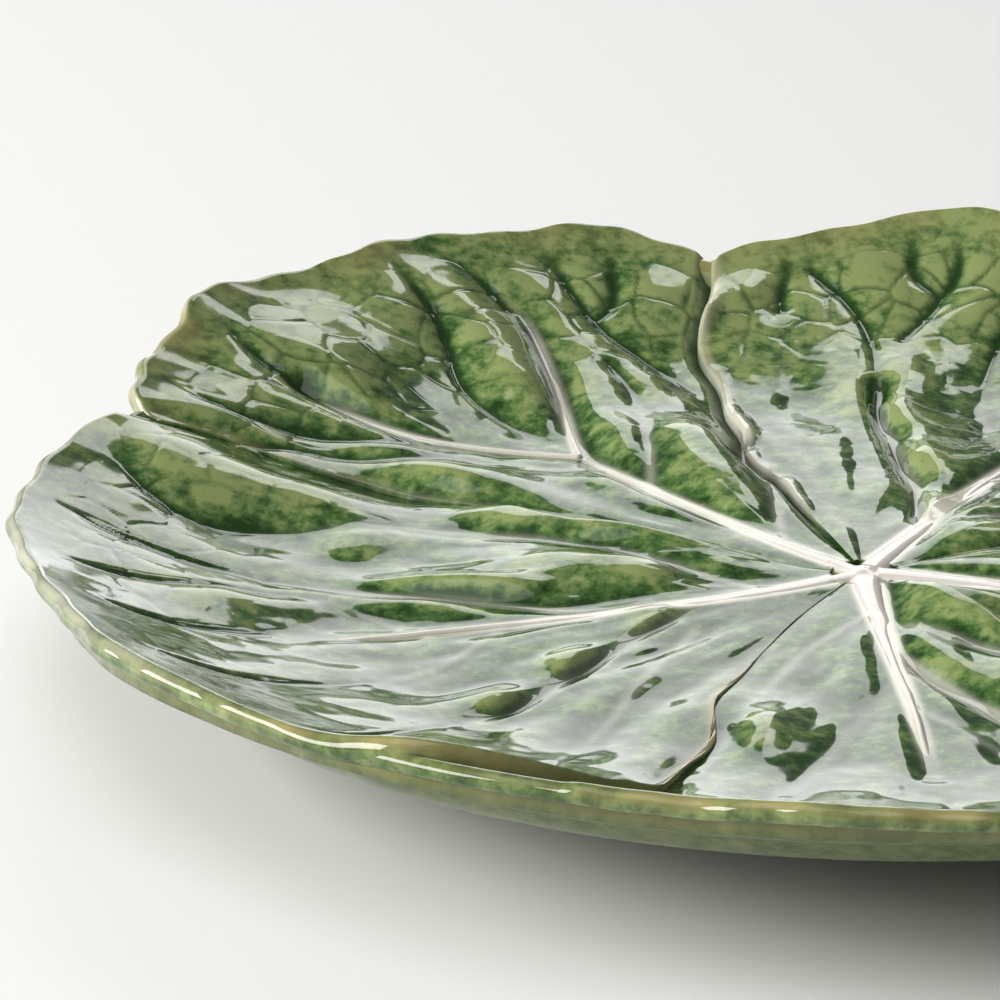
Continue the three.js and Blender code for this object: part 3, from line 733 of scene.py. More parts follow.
def rim_net(place, clear, leaf):
    """The net of small cells near the rim: its height, and how plainly its lines show.

    Each cell is domed round a seeded point, and a line runs where two points are equally near. The net comes
    in up the wall, and fades at the rim, beside the ribs and towards the front of the plate."""
    size = leaf.cell_size / MM
    bent_x = place.x + NET_BEND * random_waves(place.x, place.y, 7.0, 21)
    bent_y = place.y + NET_BEND * random_waves(place.x, place.y, 7.0, 22)
    first, second = cell_net(bent_x, bent_y, size, 5)
    line = bell(second - first, NET_LINE_WIDTH)
    depth = (0.12 + 0.88 * smooth_step(place.radius, *NET_SPAN)) * place.inside
    depth = depth * smooth_step(clear, 0.0, CLEAR_OF_RIB)
    depth = depth * (1 - 0.85 * smooth_step(-place.y / place.radius, 0.1, 0.6))
    return (NET_DOME * (1 - (first / size) ** 2) - NET_LINE_DEPTH * line) * depth, line * depth


def ripples(place, clear):
    """Random ripples: two sorts drawn out along the radius, which calm towards the rim, and fine ones."""
    calm = 1 - 0.8 * smooth_step(place.radius, *CALM_SPAN)
    total = FINE_RIPPLE * random_waves(place.x + 300, place.y + 300, 2.6, 32)
    for high, stretch, size, shift, seed in RIPPLES:
        waves = random_waves(place.radius / stretch + 300, place.arc_length + shift, size, seed)
        total = total + high * waves * calm
    return total * place.near_hub * smooth_step(clear, 0.0, 3.0) * (0.3 + 0.7 * place.inside)


def lobe_relief(place, leaf, ribs):
    """Heights of a lobe's upper face, and the masks of its glaze.

    The height is the dished face and the rim's lift, plus the relief: the puffs and the heave, the fillets
    and folds beside the ribs, side veins that stand up near the hub and sink near the rim, the net, the lap's
    dip at the first edge and crest at the last, the ripples, and the curl of the rim near the last edge."""
    lobe, step, radius, share = place.lobe, place.after["step"], place.radius, place.share

    # What the parts of the relief and the glaze share
    place.to_rim = rim_radius(place.index, share) - radius
    place.inside = smooth_step(place.to_rim, *RIM_SPAN)
    place.far = smooth_step(radius, *WALL_SPAN)
    place.near_hub = smooth_step(radius, 2 * HUB_RADIUS, LAP_FULL_RADIUS)

    # Angles are wrapped round the lobe's middle, so that no jump falls within the lobe
    middle = math.remainder(math.radians(lobe["rib"][1]), 2 * math.pi)
    turn = np.angle(np.exp(1j * (np.arctan2(place.y, place.x) - middle)))
    place.arc_length = (turn + middle) * ARC_RADIUS

    form = beside_ribs(place, ribs)
    vein_gaps = [distance_to(line, place.x, place.y)[0] for line in vein_lines(lobe)]
    form.vein_gap = np.min(vein_gaps, axis=0)
    edge_gaps = [np.maximum(0.0, place.from_first * place.narrow) + 1.0,
                 np.maximum(0.0, place.from_last * place.narrow) + 6.0 * step]
    form.rise, form.uneven, puff, heave = puffs(place, form.gaps + vein_gaps + edge_gaps, form.clear, leaf)
    ridge = leaf.vein_height / MM * bell(form.vein_gap, RIDGE_WIDTH) * (1 - place.far)
    groove = leaf.groove_depth / MM * bell(form.vein_gap, GROOVE_WIDTH) * place.far * place.inside
    net, form.net_line = rim_net(place, form.clear, leaf)
    dip = -LAP_DIP * lobe["step"] * (1 - smooth_step(place.from_first, 0.0, LAP_BLEND))
    dip = dip * lap_growth(lobe, radius)
    form.lumps = 0.7 + 0.7 * random_waves(radius, 0 * radius, 5.0, 91 + place.index)
    crest = leaf.lap_crest / MM * step * form.lumps * bell(place.from_last, LAP_CREST_WIDTH) * place.near_hub
    curl = lobe["curl"] * bell(place.to_rim, CURL_REACH)
    curl = curl * smooth_step(share, *CURL_START) * (1 - smooth_step(share, *CURL_END))
    form.relief = puff + heave + curl + form.fillet + form.fold + ridge - groove + net + dip + crest
    form.relief = form.relief + ripples(place, form.clear)
    height = wall_height(radius) + form.relief + rim_lift(place.index, share, radius)
    return height, glaze_masks(place, form)


def glaze_masks(place, form):
    """Where a lobe's glaze pools, bares the clay, turns ochre and lies dark, and where shade is painted in
    the slot under the lap, each from 0 to 1.
    """
    lobe, step, radius, vein_gap = place.lobe, place.after["step"], place.radius, form.vein_gap

    # Pooled deep in valleys and in what lies lower than its surroundings, thin on puffs, walls and folds
    pooled = POOL_VALLEY - POOL_PUFF * form.rise * np.minimum(1.0, form.uneven)
    pooled = pooled - place.far * (POOL_WALL + lobe["tone"] + POOL_WALL_VALLEY * (1 - form.rise))
    pooled = pooled + (soften(form.relief, POOL_SOFTENING) - form.relief) / POOL_RELIEF
    pooled = pooled - POOL_FOLD * np.maximum(form.fold, 0.0)

    # Bare clay on side veins and crests, then ochre along edges and in patches near the rim
    bare_vein = 0.3 * bell(vein_gap, 0.9) * (1 - smooth_step(radius, *BARE_VEIN_FADE))
    bare_crest = 0.85 * step * bell(place.from_last, 0.9) * place.near_hub * np.minimum(1.0, 0.4 + form.lumps)
    bare_crest = bare_crest * (1 - 0.5 * smooth_step(radius, *BARE_CREST_FADE))
    edge = 0.35 * bell(place.from_last, 1.3) * smooth_step(radius, *EDGE_SPAN)
    ochre = lobe["ochre"] * bell(place.from_last, 1.0) * smooth_step(radius, *OCHRE_SPAN)
    patches = 0.3 + 0.4 * random_waves(place.x + 200, place.y + 200, 9.0, 61)
    patches = np.clip(patches * smooth_step(place.from_first, 0.0, CLEAR_OF_EDGE), 0.0, 1.0)
    patches = patches * bell(place.to_rim, 6.0) * smooth_step(place.y, -20.0, 60.0)

    # Dark in grooves, along the net and in furrows, and painted shade in the slot at the first edge, under
    # the lap of the lobe before
    groove = bell(vein_gap, 0.85) * place.far * place.inside
    # Painted shade: the deep colour in the slot at the lobe's first edge, under the lap of the lobe before
    lap = 0.9 * bell(np.maximum(place.from_first, 0.0), 1.4) * place.near_hub * lobe["step"]
    return dict(
        hollow=np.clip(pooled, 0, 1),
        bare=np.clip(np.maximum.reduce([form.bare, bare_vein, bare_crest]), 0, 1),
        edge=np.maximum.reduce([edge, ochre, patches]),
        dark=np.clip(np.maximum.reduce([groove, 0.7 * form.net_line, lap, 0.8 * form.furrow]), 0, 1))


def plain_mask(rows, columns):
    """The masks of a grid whose glaze is half pooled, with no bare clay, ochre or dark."""
    mask = np.zeros((rows, columns, 4))
    mask[..., 0] = 0.5
    return mask


def grid_quads(rows, columns, start=0, wrap_rows=False, wrap_columns=False):
    """The quads of a grid of vertices numbered row by row, as an array of four numbers each."""
    numbers = start + np.arange(rows * columns).reshape(rows, columns)
    if wrap_rows:
        numbers = np.vstack([numbers, numbers[:1]])
    if wrap_columns:
        numbers = np.hstack([numbers, numbers[:, :1]])
    corners = [numbers[:-1, :-1], numbers[1:, :-1], numbers[1:, 1:], numbers[:-1, 1:]]
    return np.stack(corners, axis=-1).reshape(-1, 4)


def stitch(fine, coarse):
    """Triangles between a fine row of vertices and a coarse row beside it, by nearest shares."""
    fine_share = np.linspace(0.0, 1.0, len(fine))
    middle = (fine_share[:-1] + fine_share[1:]) / 2
    post = np.clip(np.rint(middle * (len(coarse) - 1)).astype(int), 0, len(coarse) - 1)
    fans = np.stack([fine[:-1], fine[1:], coarse[post]], axis=-1)
    change = np.nonzero(np.diff(post))[0]
    links = np.stack([coarse[post[change]], fine[change + 1], coarse[post[change + 1]]], axis=-1)
    return np.vstack([fans, links])


def closed_sheet(points, bottom):
    """A fine upper sheet closed below by a coarse one: the coarse sheet takes every few points of the
    grid inside the border, and a band of triangles joins the two along all four sides."""
    rows, columns = points.shape[:2]
    pick_rows = np.linspace(2, rows - LIP_ROWS - 3, COARSE).astype(int)
    pick_columns = np.linspace(2, columns - ROLL_COLUMNS - 3, COARSE).astype(int)
    coarse = bottom[np.ix_(pick_rows, pick_columns)]
    fine_numbers = np.arange(rows * columns).reshape(rows, columns)
    base = rows * columns
    low = base + np.arange(COARSE * COARSE).reshape(COARSE, COARSE)
    top_quads = grid_quads(rows, columns)
    low_quads = grid_quads(COARSE, COARSE, base)[:, ::-1]
    bands = [
        stitch(fine_numbers[0], low[0])[:, ::-1],
        stitch(fine_numbers[-1], low[-1]),
        stitch(fine_numbers[:, 0], low[:, 0]),
        stitch(fine_numbers[:, -1], low[:, -1])[:, ::-1],
    ]
    vertices = np.vstack([points.reshape(-1, 3), coarse.reshape(-1, 3)])
    return vertices, [top_quads, low_quads] + bands


def new_piece(name, vertices, faces, masks=None):
    """A smooth mesh object from millimetre points round the hub and lists of faces, with vertex masks."""
    mesh = bpy.data.meshes.new(name)
    place = (np.asarray(vertices) + [HUB_CENTRE[0], HUB_CENTRE[1], 0.0]) * MM
    flat = [face for group in faces for face in group.tolist()]
    mesh.from_pydata(place.tolist(), [], flat)
    if masks is not None:
        values = np.zeros((len(place), 4), dtype=np.float32)
        values[:len(masks)] = masks
        layer = mesh.attributes.new("glaze", "FLOAT_COLOR", "POINT")
        layer.data.foreach_set("color", values.ravel())
    mesh.shade_smooth()
    mesh.update()
    piece = bpy.data.objects.new(name, mesh)
    bpy.context.scene.collection.objects.link(piece)
    return piece


def dress(piece, node, material):
    """Makes a piece stand for a solid of the frame and its material."""
    piece.data.materials.append(material)
    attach(piece, "root")
    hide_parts(node)


def rib_sizes(lobe, number, along, ribs):
    """Half width and crest height along a lobe's trunk, or along one of its forks, from start to tip.

    A trunk wanes by a power of the way still to go; a fork thins evenly. Both sink to nothing at the tip."""
    if number == 0:
        waning = 1 - (1 - along) ** RIB_TAPER
        start = ribs.width / MM / 2 * lobe["rib_size"]
        high = ribs.height / MM * (0.5 + 0.5 * lobe["rib_size"])
        half = start + (RIB_TIP_WIDTH / 2 - start) * waning
        crest = high + (RIB_TIP_HEIGHT - high) * waning
        sunk = smooth_step(along, 0.7, 1.0)
        return half, crest * (1 - sunk) - (VALLEY + RIB_TIP_SINK) * sunk
    start, high = lobe["fork_looks"][number - 1][:2]
    sunk = smooth_step(along, 0.1, 1.0)
    return start * (1 - 0.4 * along), high * (1 - sunk) - (VALLEY + RIB_TIP_SINK) * sunk


def rib_bell(offset):
    """A rib's section: a flat crown that falls to a level foot, from 1 in the middle to 0 at the border."""
    return np.clip(1 - np.abs(offset) ** 3, 0.0, 1.0) ** 1.6


def rib_strip(line, half, crest, bare, sections=RIB_SECTIONS):
    """A rib along a plan line: flat-crowned sections of given half widths and heights, closed all round.

    Lumps in the width and the height come in past the rib's start, where the rib lies in the hub or in
    its trunk. The foot reaches a little below the dished face."""
    stations = len(line)
    share = np.linspace(0.0, 1.0, stations)[:, None]
    ahead = np.gradient(line, axis=0)
    ahead = ahead / np.linalg.norm(ahead, axis=1, keepdims=True)
    across = np.stack([-ahead[:, 1], ahead[:, 0]], axis=-1)
    x, y = line[:, :1], line[:, 1:]
    grown = smooth_step(share, 0.04, 0.2)
    half = half[:, None] * (1 + 0.2 * grown * random_waves(x + 500, y + 500, 5.0, 41))
    crest = crest[:, None] * (1 + 0.15 * grown * random_waves(x + 500, y + 500, 4.0, 42))
    offset = np.linspace(-1.0, 1.0, sections)[None, :]
    stray = 0.3 * grown * half * random_waves(x + 500, y + 500, 6.0, 43)
    spread = RIB_SKIRT * half * offset + stray
    x = x + across[:, :1] * spread
    y = y + across[:, 1:] * spread
    face = wall_height(np.hypot(x, y)) - VALLEY - RIB_SINK
    upper = np.stack([x, y, face + (crest + VALLEY + RIB_SINK) * rib_bell(offset)], axis=-1)
    lower = np.stack([x, y, face - 1.0], axis=-1)[:, -2:0:-3]
    loop = np.concatenate([upper, lower], axis=1)
    columns = loop.shape[1]
    quads = grid_quads(stations, columns, wrap_columns=True)
    caps = [np.arange(columns)[None, :], ((stations - 1) * columns + np.arange(columns))[None, ::-1]]
    mask = plain_mask(stations, columns)
    crown = smooth_step(1 - np.abs(offset), 0.05, 0.4)
    mask[:, :sections, 1] = bare * crown * (1 - 0.4 * smooth_step(share, 0.5, 1.0))
    return loop.reshape(-1, 3), [quads] + caps, mask.reshape(-1, 4)


def rib_piece(index, ribs):
    """A midrib with its forks as flat-crowned strips on the blade. Forks too low to show are left out."""
    lobe = LOBES[index]
    share = np.linspace(0.0, 1.0, RIB_STATIONS)
    parts = []
    for number, line in enumerate(rib_lines(lobe, len(share))):
        half, crest = rib_sizes(lobe, number, share, ribs)
        if crest.max() < LEAST_CREST:
            continue
        bare = 1.0 if number == 0 else lobe["fork_looks"][number - 1][2]
        parts.append(rib_strip(line, half, crest, bare))
    return join(parts)


def join(parts):
    """Several meshes as one: their vertices one after another, and their faces renumbered to match."""
    vertices, faces, masks, start = [], [], [], 0
    for points, groups, mask in parts:
        vertices.append(points)
        masks.append(mask)
        faces.extend(group + start for group in groups)
        start += len(points)
    return np.vstack(vertices), faces, np.vstack(masks)


def hub_surface(ribs):
    """The hub: on a polar grid, the high power mean of the five ribs' bells, sinking at its border."""
    rings, spokes = HUB_RINGS, HUB_SPOKES
    radius = np.linspace(0.0, HUB_RADIUS + HUB_SKIRT, rings + 1)[1:, None]
    angle = np.linspace(0.0, 2 * np.pi, spokes, endpoint=False)[None, :]
    total = np.zeros((rings, spokes))
    for lobe in LOBES:
        end = lobe["rib_end"] * LEAF_RADIUS
        turn = angle - np.radians(through_three(lobe["rib"], radius / end))
        gap = np.where(np.cos(turn) > 0, np.abs(np.sin(turn)), 1.0) * radius
        along = np.clip((radius - HUB_RADIUS + 1.0) / (end - HUB_RADIUS + 1.0), 0.0, 1.0)
        half, crest = rib_sizes(lobe, 0, along, ribs)
        total = total + ((crest + VALLEY + RIB_SINK) * rib_bell(gap / (RIB_SKIRT * half))) ** HUB_BLEND
    rise = total ** (1 / HUB_BLEND)
    sink = 0.5 * smooth_step(radius, HUB_RADIUS, HUB_RADIUS + HUB_SKIRT)
    bump = 0.12 * random_waves(radius * np.cos(angle) + 60, radius * np.sin(angle) + 60, 3.0, 51)
    bump = bump * (1 - smooth_step(radius, 3.0, HUB_RADIUS - 1.0))
    height = FLOOR_HEIGHT - VALLEY - RIB_SINK + rise - sink + bump * np.clip(rise, 0, 1)
    points = np.stack([radius * np.cos(angle), radius * np.sin(angle), height], axis=-1)
    skirt = points[-1:] * [1, 1, 0] + [0, 0, FLOOR_HEIGHT - HUB_DEPTH]
    grid = np.concatenate([points, skirt], axis=0)
    mask = plain_mask(rings + 1, spokes)
    mask[:-1, :, 1] = smooth_step(rise, 0.2, 1.2)
    top = FLOOR_HEIGHT - VALLEY - RIB_SINK + float(rise[0].mean())
    return polar_mesh(grid, mask, top, FLOOR_HEIGHT - HUB_DEPTH)


def polar_mesh(grid, mask, top, base):
    """A closed mesh from rings of points: a pole above the first ring, and one below the last."""
    rings, spokes = grid.shape[:2]
    count = rings * spokes
    quads = grid_quads(rings, spokes, wrap_columns=True)
    here = np.arange(spokes)
    ahead = (here + 1) % spokes
    first = np.stack([np.full(spokes, count), here, ahead], axis=-1)
    end = (rings - 1) * spokes
    last = np.stack([np.full(spokes, count + 1), end + ahead, end + here], axis=-1)
    centre = grid[0, :, :2].mean(axis=0)
    poles = np.array([[centre[0], centre[1], top], [centre[0], centre[1], base]])
    vertices = np.vstack([grid.reshape(-1, 3), poles])
    masks = np.vstack([mask.reshape(-1, 4), mask[0, :1], mask[-1, :1]])
    return vertices, [quads, first, last], masks


def evened(values):
    """Values round a closed line, each averaged with its neighbours by a bell-shaped window."""
    window = np.hanning(2 * RIM_REACH + 1)
    wide = np.concatenate([values[-RIM_REACH:], values, values[:RIM_REACH]])
    return np.convolve(wide, window / window.sum(), mode="valid")


def rim_line(spokes):
    """The plate's edge on even bearings: the radius and the underside's height of the lobe there.

    Each lobe's outline is sampled and read at the bearings; where two overlap the larger radius holds,
    and the line is then evened out along its length."""
    bearing = np.linspace(0.0, 2 * np.pi, spokes, endpoint=False)
    radius = np.zeros(spokes)
    under = np.zeros(spokes)
    share = np.linspace(0.0, 1.0, RIM_SAMPLES)
    for index in range(len(LOBES)):
        rim = rim_radius(index, share)
        angle = seam_angle(index, rim) + (seam_angle(index + 1, rim) - seam_angle(index, rim)) * share
        low = lip_foot_height(index, share, rim)
        lap = (LAP_WIDTH + LOBES[index]["flare"]) / LEAF_RADIUS
        angle = np.concatenate([[angle[0] - lap], np.maximum.accumulate(angle)])
        rim = np.concatenate([rim[:1], rim])
        low = np.concatenate([low[:1], low])
        for turn in (-2 * np.pi, 0.0, 2 * np.pi):
            here = np.interp(bearing + turn, angle, rim, left=0.0, right=0.0)
            height = np.interp(bearing + turn, angle, low, left=0.0, right=0.0)
            under = np.where(here > radius, height, under)
            radius = np.maximum(radius, here)
    return bearing, np.minimum(radius, evened(radius)), evened(under)


def dish_surface():
    """The under-dish: the dished face set down by its thickness, drawn out to just inside the lobes' edge.

    Rings run along the underside from the middle to the edge, turn over the edge, and come back above."""
    spokes = DISH_SPOKES
    bearing, rim, under_lip = rim_line(spokes)
    edge = rim - DISH_INSET
    out = np.linspace(0.0, 1.0, DISH_RINGS + 1)[1:, None]
    radius = edge[None, :] * out
    ease = smooth_step(radius, WELL_RADIUS, edge[None, :] + 0 * radius)
    face = wall_height(radius) - BLADE_THICKNESS - DISH_GAP
    low = face - (DISH_THICKNESS + (DISH_EDGE - DISH_THICKNESS) * ease)
    meet = smooth_step(out, 0.90, 1.0)
    low = low + (under_lip[None, :] + 0.1 - low) * meet
    swell = 0.10 * random_waves(radius * np.cos(bearing) + 200, radius * np.sin(bearing) + 200, 22.0, 61)
    low = low + swell * smooth_step(radius, 15.0, 40.0) * (1 - meet)
    back = np.linspace(1.0, 0.0, DISH_BACK_RINGS + 1)[:-1, None]
    upper_radius = edge[None, :] * back
    upper = np.minimum(wall_height(upper_radius) - BLADE_THICKNESS + 0.2, under_lip[None, :] + 0.6)
    grid_radius = np.vstack([radius, upper_radius])
    heights = np.vstack([low, upper])
    x, y = grid_radius * np.cos(bearing), grid_radius * np.sin(bearing)
    grid = np.stack([x, y, heights], axis=-1)[:, ::-1]
    mask = np.zeros(grid.shape[:2] + (4,))
    mask[:len(out), :, 2] = 0.8 * smooth_step(out, 0.93, 1.0)
    foot_gap = np.hypot(x - FOOT_CENTRE[0] + HUB_CENTRE[0], y - FOOT_CENTRE[1] + HUB_CENTRE[1])
    near_foot = np.minimum(np.abs(foot_gap - FOOT_RADIUS), np.abs(foot_gap - FOOT_RADIUS + FOOT_WIDTH))
    mask[..., 0] = np.clip(0.5 + 0.4 * np.exp(-(near_foot / 1.5) ** 2), 0, 1)[:, ::-1]
    base = FLOOR_HEIGHT - BLADE_THICKNESS - DISH_GAP
    return polar_mesh(grid, mask, base - DISH_THICKNESS, base + 0.5)


def foot_surface():
    """The foot ring: a rounded section carried round a circle, its walls flaring into the dish above."""
    spokes = FOOT_SPOKES
    bearing = np.linspace(0.0, 2 * np.pi, spokes, endpoint=False)
    inner, outer = FOOT_RADIUS - FOOT_WIDTH, FOOT_RADIUS
    section = np.array([
        (inner - 1.6, 5.2), (inner - 0.7, 4.0), (inner - 0.1, 2.9), (inner + 0.15, 1.6), (inner + 0.5, 0.7),
        (inner + 1.2, 0.15), (inner + 2.2, 0.0), (outer - 2.2, 0.0), (outer - 1.2, 0.15), (outer - 0.5, 0.7),
        (outer - 0.15, 1.6), (outer + 0.1, 2.9), (outer + 0.7, 4.0), (outer + 1.6, 5.2), (outer - 3.5, 5.4),
    ])
    share = np.linspace(0.0, 1.0, FOOT_SECTION_POINTS + 1)
    curve = through_many(np.vstack([section, section[:1]]), share)[:-1]
    wobble = 0.25 * random_waves(40 * np.cos(bearing) + 90, 40 * np.sin(bearing) + 90, 16.0, 71)
    radius = curve[:, 0][:, None] + wobble[None, :] * smooth_step(curve[:, 1], 0.1, 2.0)[:, None]
    x = radius * np.cos(bearing) + FOOT_CENTRE[0] - HUB_CENTRE[0]
    y = radius * np.sin(bearing) + FOOT_CENTRE[1] - HUB_CENTRE[1]
    z = np.maximum(0.0, curve[:, 1])[:, None] + 0 * x
    grid = np.stack([x, y, z], axis=-1)
    # The section runs the other way from a face seen from outside, so the quads are turned over
    quads = grid_quads(grid.shape[0], spokes, wrap_rows=True, wrap_columns=True)[:, ::-1]
    return grid.reshape(-1, 3), [quads]


def feed(tree, socket, value):
    """Links an output to a socket, or sets the socket's own value."""
    if isinstance(value, bpy.types.NodeSocket):
        tree.links.new(value, socket)
    else:
        socket.default_value = value


def add_node(tree, kind, inputs=None, **settings):
    """A node of a kind, with its settings and its inputs' values or links set."""
    node = tree.nodes.new(kind)
    for key, value in settings.items():
        setattr(node, key, value)
    for key, value in (inputs or {}).items():
        feed(tree, node.inputs[key], value)
    return node


def noise(tree, place, scale, detail, roughness=0.5):
    """The value output of a noise texture."""
    inputs = {"Vector": place, "Scale": scale, "Detail": detail, "Roughness": roughness}
    return add_node(tree, "ShaderNodeTexNoise", inputs).outputs["Fac"]


def map_range(tree, value, start=(0.0, 1.0), end=(0.0, 1.0)):
    """A value carried over from one range to another."""
    inputs = {"Value": value, "From Min": start[0], "From Max": start[1], "To Min": end[0], "To Max": end[1]}
    return add_node(tree, "ShaderNodeMapRange", inputs).outputs[0]


def mix_colours(tree, share, first, second):
    """The colour output of a node that mixes two colours by a share."""
    node = add_node(tree, "ShaderNodeMix", {0: share, 6: first, 7: second}, data_type="RGBA")
    return node.outputs[2]


def ramp(tree, value, stops):
    """The value output of a colour ramp given as pairs of place and grey level."""
    node = tree.nodes.new("ShaderNodeValToRGB")
    points = node.color_ramp.elements
    while len(points) < len(stops):
        points.new(0.5)
    for point, (place, level) in zip(points, stops):
        point.position = place
        point.color = (level, level, level, 1.0)
    tree.links.new(value, node.inputs[0])
    return node.outputs[0]


def math_node(tree, operation, first, second, clamp=False):
    """The output of a math node on two values or links."""
    node = add_node(tree, "ShaderNodeMath", {0: first, 1: second}, operation=operation, use_clamp=clamp)
    return node.outputs[0]


def colour4(values):
    """A colour with full alpha."""
    return (values[0], values[1], values[2], 1.0)


def new_group(name, inputs, outputs):
    """An empty shader node group with named sockets."""
    group = bpy.data.node_groups.new(name, "ShaderNodeTree")
    for label, kind, value in inputs:
        socket = group.interface.new_socket(name=label, in_out="INPUT", socket_type=kind)
        socket.default_value = value
    for label, kind in outputs:
        group.interface.new_socket(name=label, in_out="OUTPUT", socket_type=kind)
    return group, group.nodes.new("NodeGroupInput"), group.nodes.new("NodeGroupOutput")


def glaze_flow_group():
    """Pooled glaze: a colour that runs from thin to deep with the hollow mask, broken up by noise,
    and the fine waves and pinholes of a fired glaze as a height."""
    found = bpy.data.node_groups.get("Glaze flow")
    if found:
        return found
    hue, number, vector = "NodeSocketColor", "NodeSocketFloat", "NodeSocketVector"
    group, given, result = new_group(
        "Glaze flow",
        [("Place", vector, (0, 0, 0)), ("Hollow", number, 0.5), ("Thin", hue, (1, 1, 1, 1)),
         ("Glaze", hue, (0.5, 0.5, 0.5, 1)), ("Deep", hue, (0, 0, 0, 1)), ("Mottle", number, 0.3)],
        [("Colour", hue), ("Height", number), ("Roughness", number)],
    )
    place = given.outputs["Place"]
    grain = noise(group, place, 420.0, 3.0, 0.6)
    centred = math_node(group, "SUBTRACT", noise(group, place, 170.0, 6.0, 0.68), 0.5)
    fine = math_node(group, "SUBTRACT", grain, 0.5)
    both = math_node(group, "ADD", centred, math_node(group, "MULTIPLY", fine, 0.9))
    shift = math_node(group, "MULTIPLY", both, given.outputs["Mottle"])
    depth = math_node(group, "ADD", given.outputs["Hollow"], shift, clamp=True)
    upper = ramp(group, depth, [(0.1, 0.0), (0.55, 1.0)])
    lower = ramp(group, depth, [(0.5, 0.0), (0.9, 1.0)])
    thin = mix_colours(group, upper, given.outputs["Thin"], given.outputs["Glaze"])
    colour_out = mix_colours(group, lower, thin, given.outputs["Deep"])
    pores = add_node(group, "ShaderNodeTexVoronoi", {"Vector": place, "Scale": 260.0, "Randomness": 1.0})
    pinhole = ramp(group, pores.outputs["Distance"], [(0.03, 1.0), (0.07, 0.0)])
    pitted = math_node(group, "MULTIPLY", pinhole, 0.6)
    colour_out = mix_colours(group, pitted, colour_out, (0.02, 0.02, 0.01, 1))
    peel = noise(group, place, 160.0, 1.0, 0.4)
    height = math_node(group, "SUBTRACT", peel, math_node(group, "MULTIPLY", pinhole, 0.4))
    group.links.new(colour_out, result.inputs["Colour"])
    group.links.new(height, result.inputs["Height"])
    group.links.new(map_range(group, grain, (0.3, 0.7), (0.05, 0.10)), result.inputs["Roughness"])
    return group


def new_material(name):
    """An empty node material and its tree."""
    material = bpy.data.materials.new(name)
    material.use_nodes = True
    material.node_tree.nodes.clear()
    return material, material.node_tree


def set_surface(tree, inputs):
    """Gives a material's tree its surface, with the inputs' values or links set, and its output."""
    surface = add_node(tree, "ShaderNodeBsdfPrincipled", inputs)
    add_node(tree, "ShaderNodeOutputMaterial", {"Surface": surface.outputs[0]})


def glaze_material(name, thin, glaze, deep_glaze_and_shade, bare, edge, mottle, wave):
    """A fired glaze: the flow's colour, bare veins by the green mask, edges by the blue one, and dark grooves
    with painted shade under laps and down the lobes' last edges by alpha, under a glossy surface with fine
    waves."""
    material, tree = new_material(name)
    masks = add_node(tree, "ShaderNodeAttribute", attribute_name="glaze")
    split = add_node(tree, "ShaderNodeSeparateColor", {"Color": masks.outputs["Color"]})
    inputs = {
        "Place": add_node(tree, "ShaderNodeTexCoord").outputs["Object"], "Hollow": split.outputs["Red"],
        "Thin": colour4(thin), "Glaze": colour4(glaze), "Deep": colour4(deep_glaze_and_shade), "Mottle": mottle,
    }
    flow = add_node(tree, "ShaderNodeGroup", inputs, node_tree=glaze_flow_group()).outputs
    # Alpha lays the deep colour in grooves, and as painted shade under laps and down the lobes' last edges
    grooves_and_painted_shade = mix_colours(tree, masks.outputs["Alpha"], flow["Colour"], colour4(deep_glaze_and_shade))
    veined = mix_colours(tree, split.outputs["Green"], grooves_and_painted_shade, colour4(bare))
    edged = mix_colours(tree, split.outputs["Blue"], veined, colour4(edge))
    waves = {"Strength": wave, "Distance": 0.0004, "Height": flow["Height"]}
    bump = add_node(tree, "ShaderNodeBump", waves).outputs[0]
    set_surface(tree, {"Base Color": edged, "Roughness": flow["Roughness"], "Normal": bump, "IOR": 1.52})
    return material


def clay_material(clay, glaze):
    """The foot: bare clay on the sole with grain and scuffs, and glaze from a wavering line upwards."""
    material, tree = new_material("Foot clay")
    coords = add_node(tree, "ShaderNodeTexCoord").outputs["Object"]
    grain = noise(tree, coords, 900.0, 5.0, 0.65)
    stain = noise(tree, coords, 60.0, 3.0)
    toned = mix_colours(tree, ramp(tree, stain, [(0.35, 0.0), (0.7, 0.55)]), colour4(clay),
                        (clay[0] * 0.6, clay[1] * 0.55, clay[2] * 0.5, 1.0))
    grained = mix_colours(tree, ramp(tree, grain, [(0.35, 0.4), (0.6, 0.0)]), toned,
                          (clay[0] * 0.45, clay[1] * 0.4, clay[2] * 0.35, 1.0))
    height = add_node(tree, "ShaderNodeSeparateXYZ", {0: coords}).outputs["Z"]
    over = math_node(tree, "SUBTRACT", height, math_node(tree, "MULTIPLY", stain, 0.0022))
    line = map_range(tree, over, (0.0002, 0.0005))
    mixed = mix_colours(tree, line, grained, colour4(glaze))
    rough = map_range(tree, line, end=(0.85, 0.1))
    grit = math_node(tree, "MULTIPLY", grain, math_node(tree, "SUBTRACT", 1.0, line))
    bump = add_node(tree, "ShaderNodeBump", {"Strength": 0.5, "Distance": 0.0003, "Height": grit}).outputs[0]
    set_surface(tree, {"Base Color": mixed, "Roughness": rough, "Normal": bump, "IOR": 1.5})
    return material


